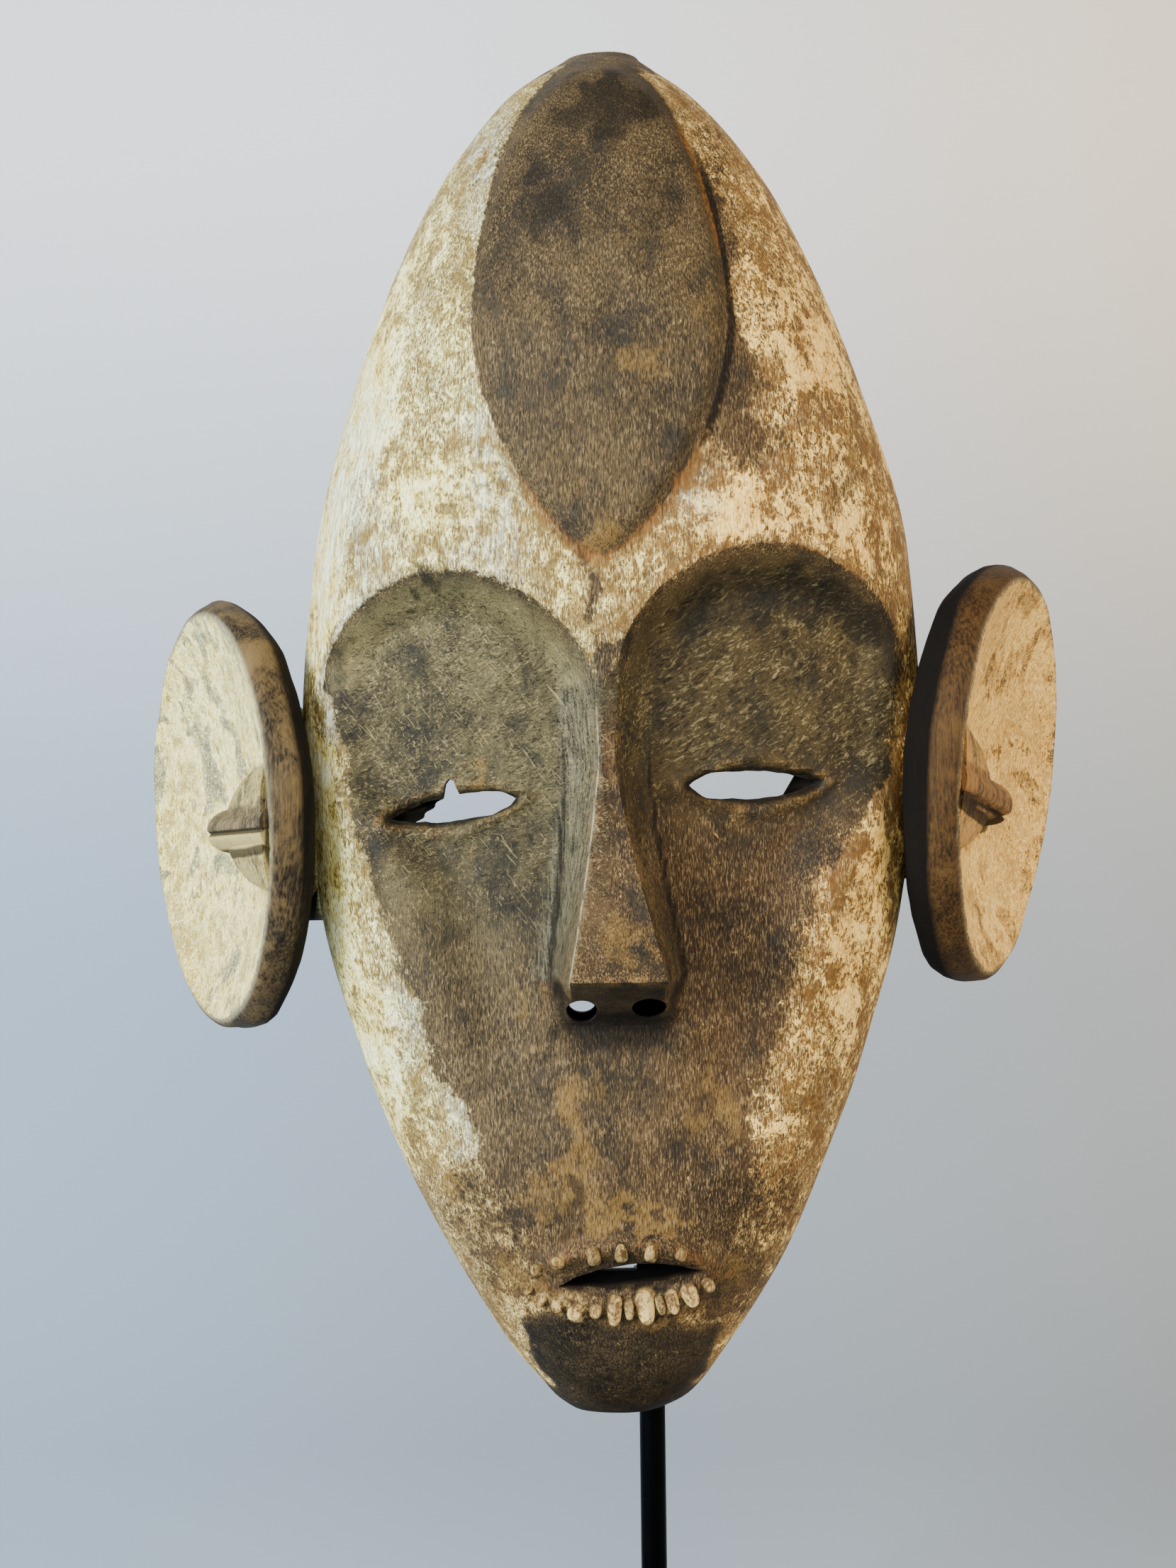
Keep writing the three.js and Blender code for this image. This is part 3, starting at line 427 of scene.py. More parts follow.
# %% [markdown]
# Behind, the mask is hollowed with a gouge to a wall of about a centimetre. The hollow is a smaller dome,
# rounded at the chin, and the gouge leaves scoops, which are deeper waves than on the front.

# %% Hollow
HOLLOW_BOTTOM, HOLLOW_TOP, HOLLOW_BACK, CHIN_BLOCK, HOLLOW_ROUNDING = 35, 383, 38, 12, 18
hollow_z = np.array([35.5, 37, 40, 46, 56, 75, 110, 150, 190, 220, 250, 280, 310, 340, 360, 373, 381])
front_at, left_at, right_at = (through(ROWS[2:-1][:, [0, k]]) for k in (1, 2, 3))
wall = WALL + CHIN_BLOCK * (1 - smooth(HOLLOW_BOTTOM, HOLLOW_BOTTOM + 40, hollow_z))
rounding = np.sqrt(1 - (1 - np.clip((hollow_z - HOLLOW_BOTTOM) / HOLLOW_ROUNDING, 0, 1)) ** 2)
over_sockets = 0.85 * socket_depth(hollow_z) * (1 - smooth(225, 265, hollow_z))
hollow_rows = np.vstack([
    [HOLLOW_BOTTOM, HOLLOW_BACK, 5, 5],
    np.column_stack([
        hollow_z, np.minimum(front_at(hollow_z) + FRONT_WALL + over_sockets, 0),
        (left_at(hollow_z) - wall) * rounding, (right_at(hollow_z) - wall) * rounding,
    ]),
    [HOLLOW_TOP, HOLLOW_BACK, 9, 9],
])
scoops = hand_waves(11, 26, 12, 16)
hollow_across, hollow_up = np.meshgrid(np.linspace(-1, 1, 96), np.linspace(0, 1, 130))
hx, hy, hz = dome(row_curves(hollow_rows), hollow_across, hollow_up, HOLLOW_BACK)
scooped = 0.5 * np.abs(scoops(hx, hy, hz)) * (1 - smooth(0.8, 0.95, np.abs(hollow_across)))
scooped *= smooth(0.04, 0.12, hollow_up) * (1 - smooth(0.88, 0.96, hollow_up))
hollow = body("hollow", *closed_grid(np.stack([hx, hy + scooped, hz], -1), [0, HOLLOW_BACK, HEIGHT / 2]))
print("hollow body", len(hollow.data.polygons), "triangles")

# %% [markdown]
# Each ear is an oval dish that faces out and a little forward. Rings run from the middle of the dish, over
# its thin front edge, round the thick rim and the back, and in to the side of the face, into which it runs.

# %% Ears
EAR_X, EAR_Y, EAR_Z = (-119.7, 117.2), (0, 2), (175.4, 184.6)
EAR_TALL, EAR_DEEP, EAR_EGG = (61.1, 59.6), (50, 49), (0.03, 0.1)
EAR_TURN, EAR_LEAN, EAR_THICK, DISH = (29, 26), (2, 6), (1, 1.2), 12
# From the dish's edge round to the root: [share of the oval, place along the ear's normal, share of the root]
EAR_EDGE = np.array([
    [0.985, -0.3, 0], [1, -0.8, 0], [1.02, -2, 0], [1.045, -4.5, 0], [1.052, -6.3, 0], [1.052, -7.6, 0],
    [1.045, -9.5, 0], [1.02, -11.8, 0], [0.98, -13.5, 0], [0.9, -15.2, 0.02], [0.8, -16.5, 0.05],
    [0.7, -17.5, 0.14], [0.62, -18, 0.25], [0.52, -18, 0.5], [0.5, -18, 1],
])
ROOT_X, ROOT_Y, ROOT_DEEP, ROOT_TALL, SPOKES = 80.0, 6, 19, 31, 120


def ear_frame(side):
    """Directions of an ear: out is -1 or 1, then up it, out of its dish, and forward along its dish."""
    out, turn, lean = (-1, 1)[side], radians(EAR_TURN[side]), radians(EAR_LEAN[side])
    up = np.array([out * np.sin(lean), 0, np.cos(lean)])
    level = np.array([out * np.cos(turn), -np.sin(turn), 0])
    normal = level - up * level.dot(up)
    normal /= np.linalg.norm(normal)
    return out, up, normal, -out * np.cross(up, normal), np.array([EAR_X[side], EAR_Y[side], EAR_Z[side]])


def dish_floor(scale):
    """Depth of the dish: 12 mm in the middle, rising by the power 2.2 to its edge."""
    return -DISH * (1 - np.clip(scale / 0.97, 0, 1) ** 2.2)


def ear(side):
    """Rings of an ear. Those of the dish are flat ovals sunk by the floor, and the last ones slide to the root."""
    out, up, normal, forward, centre = ear_frame(side)
    dish_scale = np.concatenate([np.linspace(0.03, 0.9, 26), [0.93, 0.955, 0.97]])
    scale = np.concatenate([dish_scale, EAR_EDGE[:, 0]])[:, None]
    offset = np.concatenate([dish_floor(dish_scale), EAR_EDGE[:, 1] * EAR_THICK[side]])[:, None]
    rooted = np.concatenate([dish_scale * 0, EAR_EDGE[:, 2]])[:, None]
    turn = (2 * np.pi * np.arange(SPOKES) * -out / SPOKES)[None, :]
    facet = np.pi / 4.5
    flat = np.cos(facet / 2) / np.cos((turn - 0.17) % facet - facet / 2) - 1
    trim = 1 + (0.45 - 0.2 * side) * flat * smooth(1.01, 1.05, scale + 0.1 * (offset < -3)) * (1 - rooted)
    deep = scale * trim * (1 + EAR_EGG[side] * np.sin(turn)) * EAR_DEEP[side] * np.cos(turn)
    tall = scale * trim * EAR_TALL[side] * np.sin(turn)
    point = centre + deep[..., None] * forward + tall[..., None] * up + offset[..., None] * normal
    root_y, root_z = ROOT_Y - ROOT_DEEP * np.cos(turn), EAR_Z[side] + ROOT_TALL * np.sin(turn)
    root = np.stack([np.full_like(tall, out * ROOT_X), root_y + 0 * tall, root_z + 0 * tall], -1)
    point = mix(point, root, rooted[..., None])
    rough = 0.3 * slow(*np.moveaxis(point, -1, 0)) + 0.12 * knife(*np.moveaxis(point, -1, 0))
    return point + (rough * (1 - rooted) * smooth(0, 0.2, scale))[..., None] * normal * 0.8


ears = [body("ear", *closed_tube(ear(side))) for side in (0, 1)]
print("each ear", len(ears[0].data.polygons), "triangles")

# %% [markdown]
# In each dish a ridge swells towards the front rim, and a tongue lies along its top like a rolled strip.
# Sections give their place, half height and top, and a batten curve fills in between them.

# %% Ridge and tongue in each dish
RIDGE = [[-6, 2.5, -10], [-5, 5.5, -8.2], [-2, 9.5, -5.6], [4, 13.5, -4], [12, 17, -3.2], [34, 20, -3]]
TONGUE = [[-9.8, 4.2, -6.5], [-9.5, 5.4, -4.6], [-8.4, 6.3, -2.6], [-6, 6.8, -1.5], [12, 6.8, -1.2], [36, 6, -1.8]]
TIP_REACH, TIP_DOWN, ROOT_DOWN = (1, 1.7), (4.5, 9), (3.3, 3)
SEAM_DEEP, SEAM_AT = (1.1, 2), (-0.6, -3.2)


def ridge(side, sections, seam=0.0, seam_at=0.0):
    """Half-oval sections along the dish, from the tip to the front rim. A seam is a groove along the top."""
    _, up, normal, forward, centre = ear_frame(side)
    sections = np.array(sections, float)
    share = np.linspace(0, 1, 46) ** 1.6
    run = mix(sections[0, 0], sections[-1, 0], share)[:, None]
    half, top = (through(sections[:, [0, k]])(run) for k in (1, 2))
    place = np.where(run < 0, run * TIP_REACH[side], run)
    down = mix(TIP_DOWN[side], ROOT_DOWN[side], (place - place[0]) / (place[-1] - place[0]))
    bed = dish_floor(np.abs(place) / EAR_DEEP[side]) - 1.5
    top_turn, foot_turn = (np.linspace(k * np.pi, (k + 1) * np.pi, n, endpoint=False) for k, n in ((0, 44), (1, 10)))
    turn = np.concatenate([top_turn, foot_turn])[None, :]
    over = np.maximum(0, np.sin(turn)) ** 0.7
    groove = seam * np.exp(-(((half * np.cos(turn) - seam_at) / 0.7) ** 2)) * (over > 0.3)
    point = centre + place[..., None] * forward + (half * np.cos(turn) - down)[..., None] * up
    return point + (mix(bed, top, over) - groove)[..., None] * normal


for side in (0, 1):
    ears.append(body("ridge", *closed_tube(ridge(side, RIDGE))))
    ears.append(body("tongue", *closed_tube(ridge(side, TONGUE, seam=SEAM_DEEP[side], seam_at=SEAM_AT[side]))))
print("ear pieces", len(ears))

# %% [markdown]
# Peg teeth stand in an oval round the mouth. One tooth is an oval ball, slightly squared, whose foot is
# sunk in the lip, and its place on the face comes from the same carving as the lips.

# %% Teeth
# Each tooth: [x, half width, height as a share of the width, how pale it is]
UPPER = [
    [-23.5, 2, 0.95, 0.3], [-17.8, 1.7, 1.1, 0.45], [-7.7, 1.8, 1.55, 0.35],
    [0, 1.8, 1.45, 0.65], [8.3, 1.8, 1.5, 0.6], [16.7, 1.5, 1.2, 0.5],
]
LOWER = [
    [-26, 1.5, 1.3, 0.5], [-22.2, 1.7, 1.5, 0.35], [-17.6, 2, 1.35, 0.7], [-12.7, 2.6, 1.45, 1],
    [-7.3, 1.8, 1.3, 0.5], [-2, 2.1, 2.1, 0.85], [2.1, 1.4, 2.2, 0.5], [6.6, 2.6, 1.85, 1],
    [10.8, 1.3, 2.2, 0.5], [14.1, 1.9, 1.9, 0.85], [19.2, 2.3, 1.5, 1], [24.4, 1.7, 1.3, 0.7],
]
TEETH_X, TEETH_UP, TEETH_DOWN = 26.8, 8.3, -8.4


def face_y(x, z):
    """Where the carved front lies over a place (x, z)."""
    share = np.minimum(1, np.abs(x) / np.where(x < 0, left_at(z), right_at(z)))
    return front_at(z) * (1 - share**ROUNDNESS) ** (1 / ROUNDNESS) + carving(x, z)


def tooth_height(x, way):
    """Where a tooth's middle lies on the oval round the mouth."""
    return MOUTH["z"] + (TEETH_UP if way > 0 else TEETH_DOWN) * np.sqrt(1 - (x / TEETH_X) ** 2) + 0.05 * x


def tooth(x, half, height, way):
    """Rings of a squared ball, narrower towards its free end, which leans out from the mouth's middle."""
    z = tooth_height(x, way)
    lie = np.linspace(0.12, np.pi - 0.12, 13)[:, None]
    turn = (2 * np.pi * np.arange(18) / 18)[None, :]
    squared = [np.sign(v) * np.abs(v) ** 0.7 for v in (np.sin(lie), np.cos(turn), np.sin(turn), np.cos(lie))]
    a, b, c = squared[0] * squared[1], squared[0] * squared[2], squared[3]
    free = way * c
    wide, deep, tall = half * (1 - 0.2 * free) * a, (1.9 + 0.6 * free) * b, half * height * c + 0 * a
    lean = way * x / 26.5 * 0.6
    turned = [wide * np.cos(lean) + tall * np.sin(lean), deep, tall * np.cos(lean) - wide * np.sin(lean)]
    return np.stack(turned, -1) + np.array([x, float(face_y(np.array(x), np.array(z))), z])


teeth = [
    body("tooth", *closed_tube(tooth(x, half, height, way)))
    for way, row in ((1, UPPER), (-1, LOWER)) for x, half, height, _ in row
]
print("teeth", len(teeth))

# %% [markdown]
# Eyes, mouth and nostrils are closed prisms along y with slightly wavering outlines. The outer end of each
# eye and most of the mouth are blind, so a second prism breaks through behind only where light comes through.

# %% Openings
def prism(name, outline, near_y, far_y):
    """A closed tube along y from an outline of places (x, z), between two distances from the viewer."""
    ys = np.linspace(far_y, near_y, 12)[:, None]
    x, z = outline[:, 0][None, :] + 0 * ys, outline[:, 1][None, :] + 0 * ys
    return body(name, *closed_tube(np.stack([x, ys + 0 * x, z], -1)))


def slit_outline(slit, seed, count=60):
    """Two arches 1 - |s|^blunt over the slit's length, tilted, with a waver of 0.18 mm."""
    share = np.linspace(0, 1, count, endpoint=False)
    s = np.where(share < 0.5, -np.cos(2 * np.pi * share), np.cos(2 * np.pi * (share - 0.5)))
    blunt = np.where(s < 0, *slit["blunt"])
    rise = np.where(share < 0.5, -slit["bow"][1], slit["bow"][0]) * (1 - np.abs(s) ** blunt)
    waver = hand_waves(seed, 9, 3, 8)(slit["half"] * s, rise, 0 * s) * 0.18
    along, over = slit["half"] * s, rise + waver * (np.abs(s) < 0.95)
    turn = radians(slit["tilt"])
    x = slit["x"] + along * np.cos(turn) - over * np.sin(turn)
    return np.column_stack([x, slit["z"] + along * np.sin(turn) + over * np.cos(turn)])


def oval_outline(x, z, half_wide, half_tall, count=36):
    """x + a cos t, z + b sin t"""
    t = 2 * np.pi * np.arange(count) / count
    return np.column_stack([x + half_wide * np.cos(t), z + half_tall * np.sin(t)])


# The place where a chip broke out of the left upper lid
notch = np.array([
    [-48.9, 178.8], [-43, 179.6], [-43.5, 181.4], [-44.3, 183.1],
    [-45.1, 185.3], [-46.5, 185.9], [-47.7, 184.4], [-48.3, 181.2],
])
left_eye, right_eye, mouth = slit_outline(EYES[0], 21), slit_outline(EYES[1], 22), slit_outline(MOUTH, 23)
left_border = -55.4 + 1.1 * (left_eye[:, 1] - 174.5) + 0.5 * np.sin(2.2 * left_eye[:, 1])
left_through = np.maximum(left_eye[:, 0], left_border)
right_through = np.minimum(right_eye[:, 0], 48.5 + 0.6 * (right_eye[:, 1] - 182))
sliver = np.column_stack([np.clip(mouth[:, 0], -6, 4.5), np.maximum(mouth[:, 1], 46.7)])
# Distances along y: every cut starts before the face, and ends at a blind floor or in the hollow behind
BEFORE, BEFORE_NOSE, IN_HOLLOW, BEHIND_NOSE, NOSTRIL_FLOOR, NOSTRIL_X = -92, -80, -6, -14, -34, (-10.1, 8.4)
cuts = [
    prism("eye", left_eye, BEFORE, -28.5), prism("eye", right_eye, BEFORE, -30),
    prism("eye_through", np.column_stack([left_through, left_eye[:, 1]]), BEFORE - 2, IN_HOLLOW),
    prism("eye_through", np.column_stack([right_through, right_eye[:, 1]]), BEFORE - 2, IN_HOLLOW),
    prism("mouth", mouth, BEFORE, -31), prism("mouth_through", sliver, BEFORE - 1, IN_HOLLOW),
    prism("notch", notch, BEFORE, IN_HOLLOW),
    prism("nostril", oval_outline(NOSTRIL_X[0], 121.6, 4.3, 3.7), BEFORE_NOSE, NOSTRIL_FLOOR),
    prism("nostril_through", oval_outline(NOSTRIL_X[0], 122.6, 3.8, 2.8), BEFORE_NOSE - 1, BEHIND_NOSE),
    prism("nostril", oval_outline(NOSTRIL_X[1], 122.6, 4.8, 3.2), BEFORE_NOSE, NOSTRIL_FLOOR),
]
print("openings", len(cuts))

# %% [markdown]
# Now the block is put together and cut: ears and teeth are joined on, the hollow and openings taken away.
# The pieces are gathered in two collections, each piece gets a Boolean modifier of its own, and the result is kept.

# %% One block
def gathered(name, pieces):
    """Moves pieces into a collection of their own."""
    group = bpy.data.collections.new(name)
    bpy.context.scene.collection.children.link(group)
    for piece in pieces:
        bpy.context.scene.collection.objects.unlink(piece)
        group.objects.link(piece)
    return group


joined, removed = gathered("joined", ears + teeth), gathered("removed", [hollow] + cuts)
for group, operation in ((joined, "UNION"), (removed, "DIFFERENCE")):
    for tool in group.objects:
        cut = mask.modifiers.new(tool.name, "BOOLEAN")
        cut.object, cut.operation, cut.solver = tool, operation, "MANIFOLD"
carved = bpy.data.meshes.new_from_object(mask.evaluated_get(bpy.context.evaluated_depsgraph_get()))
mask.modifiers.clear()
mask.data = carved
for group in (joined, removed):
    for tool in list(group.objects):
        bpy.data.objects.remove(tool)
    bpy.data.collections.remove(group)
carved.polygons.foreach_set("use_smooth", np.ones(len(carved.polygons), bool))
carved.set_sharp_from_angle(angle=radians(38))
print("carved mask", len(carved.polygons), "faces")

# %% [markdown]
# Where each finish lies follows the carving, so it is worked out once for every point and kept on the mesh
# as named values. The first step reads the finished surface: its places, and which way it faces.

# %% Reading the surface
co = np.empty(len(carved.vertices) * 3, np.float32)
carved.vertices.foreach_get("co", co)
facing = np.empty(len(carved.vertices) * 3, np.float32)
carved.vertex_normals.foreach_get("vector", facing)
X, Y, Z = (co.reshape(-1, 3).astype(float) / MM - CHIN).T
facing = facing.reshape(-1, 3)
broad, middling, small = (hand_waves(seed, *size)(X, Y, Z) for seed, size in (
    (32, (120, 40, 10)), (31, (40, 12, 18)), (33, (12, 5, 20))))
in_width = np.where(X < 0, left_at(Z), right_at(Z)) - np.abs(X)
behind_face = Y - face_y(X, Z)
face_part = (np.abs(X) < 74) | (in_width > -1.2) & (behind_face > -1.8)
front_side = smooth(0.0, 0.3, -facing[:, 1]) * face_part
leaf = in_panel(X, Z)
nose_side = np.abs(X - nose_middle(Z)) - nose_half(Z)
on_left = X < nose_middle(Z)
in_arch = np.where(on_left, in_brow(X, Z, 0)[0], in_brow(X, Z, 1)[0])
above_eyes = Z > np.where(on_left, SOCKET_Z[0], SOCKET_Z[1])
print("points", len(X), "on the front", int((front_side > 0.5).sum()))

# %% [markdown]
# White clay was rubbed on the forehead's sides and in a band down each edge of the face. The band's inner
# border is a batten curve, and `spots` lays soft ovals where the clay is worn through or lies thick.

# %% Clay bands and placed wear
band_left = through([
    [36, 12], [50, 22], [62, 31], [85, 44], [108, 55], [140, 66], [173, 75], [190, 79], [212, 83],
])
band_right = through([
    [36, 16], [50, 25], [74, 37], [97, 43], [120, 48.5], [140, 53], [159, 60], [174, 71], [190, 80], [212, 83],
])


def spots(places, waver=2.5):
    """Ovals [x, z, half width, half height, amount] with wavering borders: amount exp(-d^3), added up."""
    places = np.array(places, float)
    dx = (X[:, None] + waver * middling[:, None] - places[:, 0]) / places[:, 2]
    dz = (Z[:, None] + waver * small[:, None] - places[:, 1]) / places[:, 3]
    return (places[:, 4] * np.exp(-np.hypot(dx, dz) ** 3)).sum(1) * face_part


outside_band = np.where(X < 0, -X - band_left(Z), X - band_right(Z))
fade = 5 + 4 * smooth(185, 140, Z)
clay = np.where(above_eyes, smooth(1.6, -1.6, in_arch), smooth(-fade, fade, outside_band + 1.6 * middling))
round_edge = smooth(-0.3, -0.02, -facing[:, 1]) * smooth(16, 2, Y) * face_part
clay = clay * smooth(0.8, -1.4, leaf) * np.maximum(front_side, round_edge)
worn_through = spots([
    [38.5, 275, 11, 8, 0.3], [40, 300, 16, 50, 0.07], [63, 262, 7, 12, 0.3], [31, 330, 9, 36, 0.22],
    [30, 295, 9, 20, 0.2], [0, 394, 40, 10, 0.5], [-29, 362, 9, 26, 0.35], [-48, 301, 7, 8, 0.3],
    [-60, 322, 7, 16, 0.2], [-70, 262, 8, 10, 0.22], [25, 300, 8, 60, 0.12], [44, 300, 10, 14, 0.2],
    [26, 368, 12, 14, 0.2], [-5.5, 240, 2.4, 14, 0.34], [-4, 216, 3, 8, 0.5], [-4, 228, 22, 26, 0.2],
    [28, 312, 16, 50, 0.14], [-36, 300, 8, 50, 0.08], [-74, 160, 8, 20, 0.12], [-55, 100, 9, 14, 0.1],
    [-42, 66, 18, 20, 0.34], [40, 62, 18, 24, 0.3], [-24, 45, 18, 12, 0.36], [28, 40, 14, 12, 0.4],
    [60, 100, 6, 20, 0.2], [-82, 215, 6, 18, 0.2], [82, 230, 6, 18, 0.2],
])
thick_clay = spots([
    [-52, 263, 12, 12, 0.4], [-66, 288, 8, 26, 0.35], [-41, 311, 5, 16, 0.35], [-35, 262, 8, 16, 0.3],
    [54, 302, 9, 18, 0.35], [33, 258, 12, 8, 0.4], [64, 250, 8, 10, 0.3], [39, 322, 6, 10, 0.3],
    [19, 358, 4, 6, 0.35], [-14, 240, 6, 8, 0.25], [5, 241, 6, 10, 0.15], [-80, 250, 8, 30, 0.25],
    [-46, 92, 9, 11, 0.6], [-60, 122, 8, 18, 0.45], [-78, 182, 8, 50, 0.35], [63, 132, 7, 22, 0.3],
    [72, 165, 6, 18, 0.3], [44, 85, 6, 10, 0.25],
])
pale_strip = 3 + (4 + 2 * (X < 0)) * smooth(10, 34, Z)
in_strips = np.maximum(smooth(pale_strip, pale_strip + 4, in_width - small), smooth(12, 6, Z))
chin_dark = smooth(35, 26, Z + 2 * middling + 0.06 * X) * in_strips * face_part * smooth(30, 20, Y)
# Painted light: more and less worn clay down the face's left edge, to lift it where the ear shades it from the cool
# window.
left_edge_painted_light = smooth(18, 6, in_width) * (X < 0) * smooth(62, 88, Z) * smooth(360, 320, Z)
amount = 0.55 - 0.05 * smooth(-10, 20, X) - 0.06 * smooth(200, 170, Z) + thick_clay
amount = amount - worn_through * (1 - 0.7 * left_edge_painted_light) + np.maximum(0.36 * smooth(-66, -84, X), 0.4 * left_edge_painted_light)
clay = clay * amount * smooth(0.45, 0, chin_dark)
print("clay covers", round(float((clay > 0.5).mean()) * 100), "% of the points")

# %% [markdown]
# The ears are dishes full of clay with dark wooden rims, and their backs are painted near black as shade. Each
# point near an ear is turned into the ear's own directions, and the ridge and its rolled tongue are found there
# from their own sections, with painted shade along the tongue and a painted highlight on each dish's thin edge.

# %% Finishes of the ears
SEEN_RIM = (8.2, 7.4)
dish, rim, ear_back_shade, swelling, roll, roll_top, tongue_edge_shade, thin_edge_highlight = (np.zeros(len(X)) for _ in range(8))
for side in (0, 1):
    out, up_way, normal, forward, centre = ear_frame(side)
    offset = np.stack([X, Y, Z], -1) - centre
    deep, tall, high = offset @ forward, offset @ up_way, offset @ normal
    oval_deep = EAR_DEEP[side] * (1 + EAR_EGG[side] * tall / EAR_TALL[side])
    round_it = np.hypot(deep / oval_deep, tall / EAR_TALL[side])
    this = ~face_part & (X * out > 0)
    before = high > dish_floor(round_it) - 3
    here = smooth(1.0, 0.955, round_it) * before
    dish = np.where(this, here, dish)
    rim = np.where(this, 1 - here, rim)
    # Painted shade: beyond the rim that is seen, the ear's back is painted near black, as the shade between ear and
    # face.
    behind = smooth(-SEEN_RIM[side] + 0.3, -SEEN_RIM[side] - 1.5, high + 0.15 * middling)
    ear_back_shade = np.where(this, behind * (1 - here), ear_back_shade)
    # Painted highlight: a pale line along the dish's thin front edge, stronger on the left ear, which faces the cool
    # window.
    at_edge = np.exp(-(((round_it - 0.985) / 0.014) ** 2)) * before
    thin_edge_highlight = np.where(this, at_edge * (1, 0.4)[side], thin_edge_highlight)
    run = np.where(deep < 0, deep / TIP_REACH[side], deep)
    over = tall + mix(TIP_DOWN[side], ROOT_DOWN[side], np.clip((deep + 10) / 46, 0, 1))
    in_ridge, in_tongue = (
        np.where(run > sections[0][0], through(np.array(sections)[:, [0, 1]])(run) - np.abs(over), -9)
        for sections in (RIDGE, TONGUE)
    )
    swelling = np.where(this, smooth(-1, 1, in_ridge), swelling)
    roll = np.where(this, smooth(-0.4, 0.6, in_tongue), roll)
    roll_top = np.where(this, np.maximum(side, smooth(-1.2, 0.2, over)), roll_top)
    # Painted shade round each tongue: its edges, most on the underside, the seam along its top, and the hole under
    # the right tongue's tip.
    low_side = np.where(over < 0, 1.5 + side, 0.5)
    seam = np.exp(-(((over - SEAM_AT[side]) / 0.9) ** 2)) * (in_tongue > 0)
    hole_shadow = side * 2 * np.exp(-(((deep + 7.5) / 3) ** 2 + ((over + 5) / 1.8) ** 2))
    round_tongue = (np.exp(-((in_tongue / 1.5) ** 2)) * low_side + 1.4 * seam) * here
    tongue_edge_shade = np.where(this, round_tongue + hole_shadow, tongue_edge_shade)
print("points in the dishes", int((dish > 0.5).sum()))

# %% [markdown]
# The middle of the face stayed dark: most of all the hollow of the right eye and the chin. Grooves get painted
# shade with old dirt later. Handling wore proud edges to warm bare wood, and `crest` finds them and the grooves
# from the carving itself.

# %% Dark, worn and sunk places
def crest(reach):
    """How far a place stands above the mean of its four neighbours at a reach, in millimetres."""
    around = [carving(X + dx, Z + dz) for dx, dz in ((reach, 0), (-reach, 0), (0, reach), (0, -reach))]
    return (sum(around) / 4 - carving(X, Z)) * front_side


def ridge_of(distance, width):
    """exp(-(distance/width)^2): 1 on a line, fading on both sides of it."""
    return np.exp(-((distance / width) ** 2))


edge_height = crest(1.6)
proud, sunk = np.clip(edge_height / 0.45, 0, 1), np.clip(-edge_height / 0.45, 0, 1)
in_face = front_side * (1 - np.clip(clay * 2, 0, 1)) * smooth(0.5, -0.5, leaf)
in_socket = in_face * smooth(0, 8, np.where(above_eyes, in_arch, 9))
left_hollow = in_socket * on_left * smooth(120, 180, Z)
right_hollow = in_socket * ~on_left * smooth(160, 196, Z)
right_cheek = in_face * ~on_left * smooth(2, 10, X - nose_half(Z)) * smooth(60, 120, Z) * smooth(215, 180, Z)
nose_left = smooth(-1, 0.5, nose_side) * smooth(13, 8, nose_side) * on_left
nose_left = nose_left * (Z > 130) * smooth(232, 206, Z) * front_side
nose_front = smooth(0.5, -0.8, nose_side) * (Z > TIP_Z - 1) * smooth(206, 196, Z) * front_side
print("proud edges", int((proud > 0.5).sum()), "grooves", int((sunk > 0.5).sum()))

# %% [markdown]
# Golden patches, soot and dry streaks lie in places of their own, the streaks' bluish white partly a painted sheen.
# The lips glow orange round the mouth and the panel's rim is rubbed to bare wood, its upper right rim also painted
# with a warm light, and a painted highlight runs down the nose's left arris.

# %% Placed patches, rubbed edges and painted light
ochre = spots([
    [-12, 96, 8, 10, 0.8], [-10, 78, 10, 8, 0.7], [30, 92, 10, 9, 0.7], [-20, 70, 12, 6, 0.6], [2, 63, 22, 5, 0.9],
    [-37.5, 190, 6, 6, 0.7], [-39, 164, 5, 4, 0.4], [2, 142, 9, 10, 0.6], [9, 298, 12, 8, 0.6], [25, 314, 4, 14, 0.5],
    [-60, 112, 7, 18, 0.3], [-24, 120, 9, 12, 0.45], [24, 108, 12, 12, 0.4], [-30, 44, 8, 10, 0.7],
    [34, 44, 7, 10, 0.6], [10, 75, 8, 8, 0.4], [-2, 250, 5, 8, 0.9], [78, 176, 4, 6, 0.8], [58, 150, 4, 8, 0.6],
    [8, 34, 20, 3, 0.9],
], 4)
soot = spots([
    [-18, 108, 5, 10, 0.6], [-14, 66, 6, 8, 0.8], [-52, 149, 5, 10, 0.3], [-48, 120, 6, 16, 0.2],
    [-15, 343, 12, 13, 0.75], [0, 372, 15, 13, 1.0], [14, 342, 9, 12, 0.6], [-28, 322, 5, 24, 0.45],
    [-56, 238, 8, 4, 0.8], [-44, 242, 8, 3.5, 0.5], [-76, 217, 6, 10, 0.6], [-70, 200, 8, 8, 0.5],
    [45, 234, 26, 12, 0.7], [68, 226, 9, 12, 0.5], [20, 220, 8, 16, 0.55], [52, 168, 18, 8, 0.4],
    [-45, 168, 22, 4, 0.5], [-4, 122, 22, 6, 0.3], [40, 206, 26, 8, 0.3], [38, 275, 10, 8, 0.3],
    [-48, 301, 6, 7, 0.4], [-70, 256, 7, 8, 0.35], [64, 262, 3, 6, 0.6], [20, 372, 6, 14, 0.4],
    [28, 150, 8, 20, 0.3], [-2, 110, 6, 6, 0.35],
], 4)
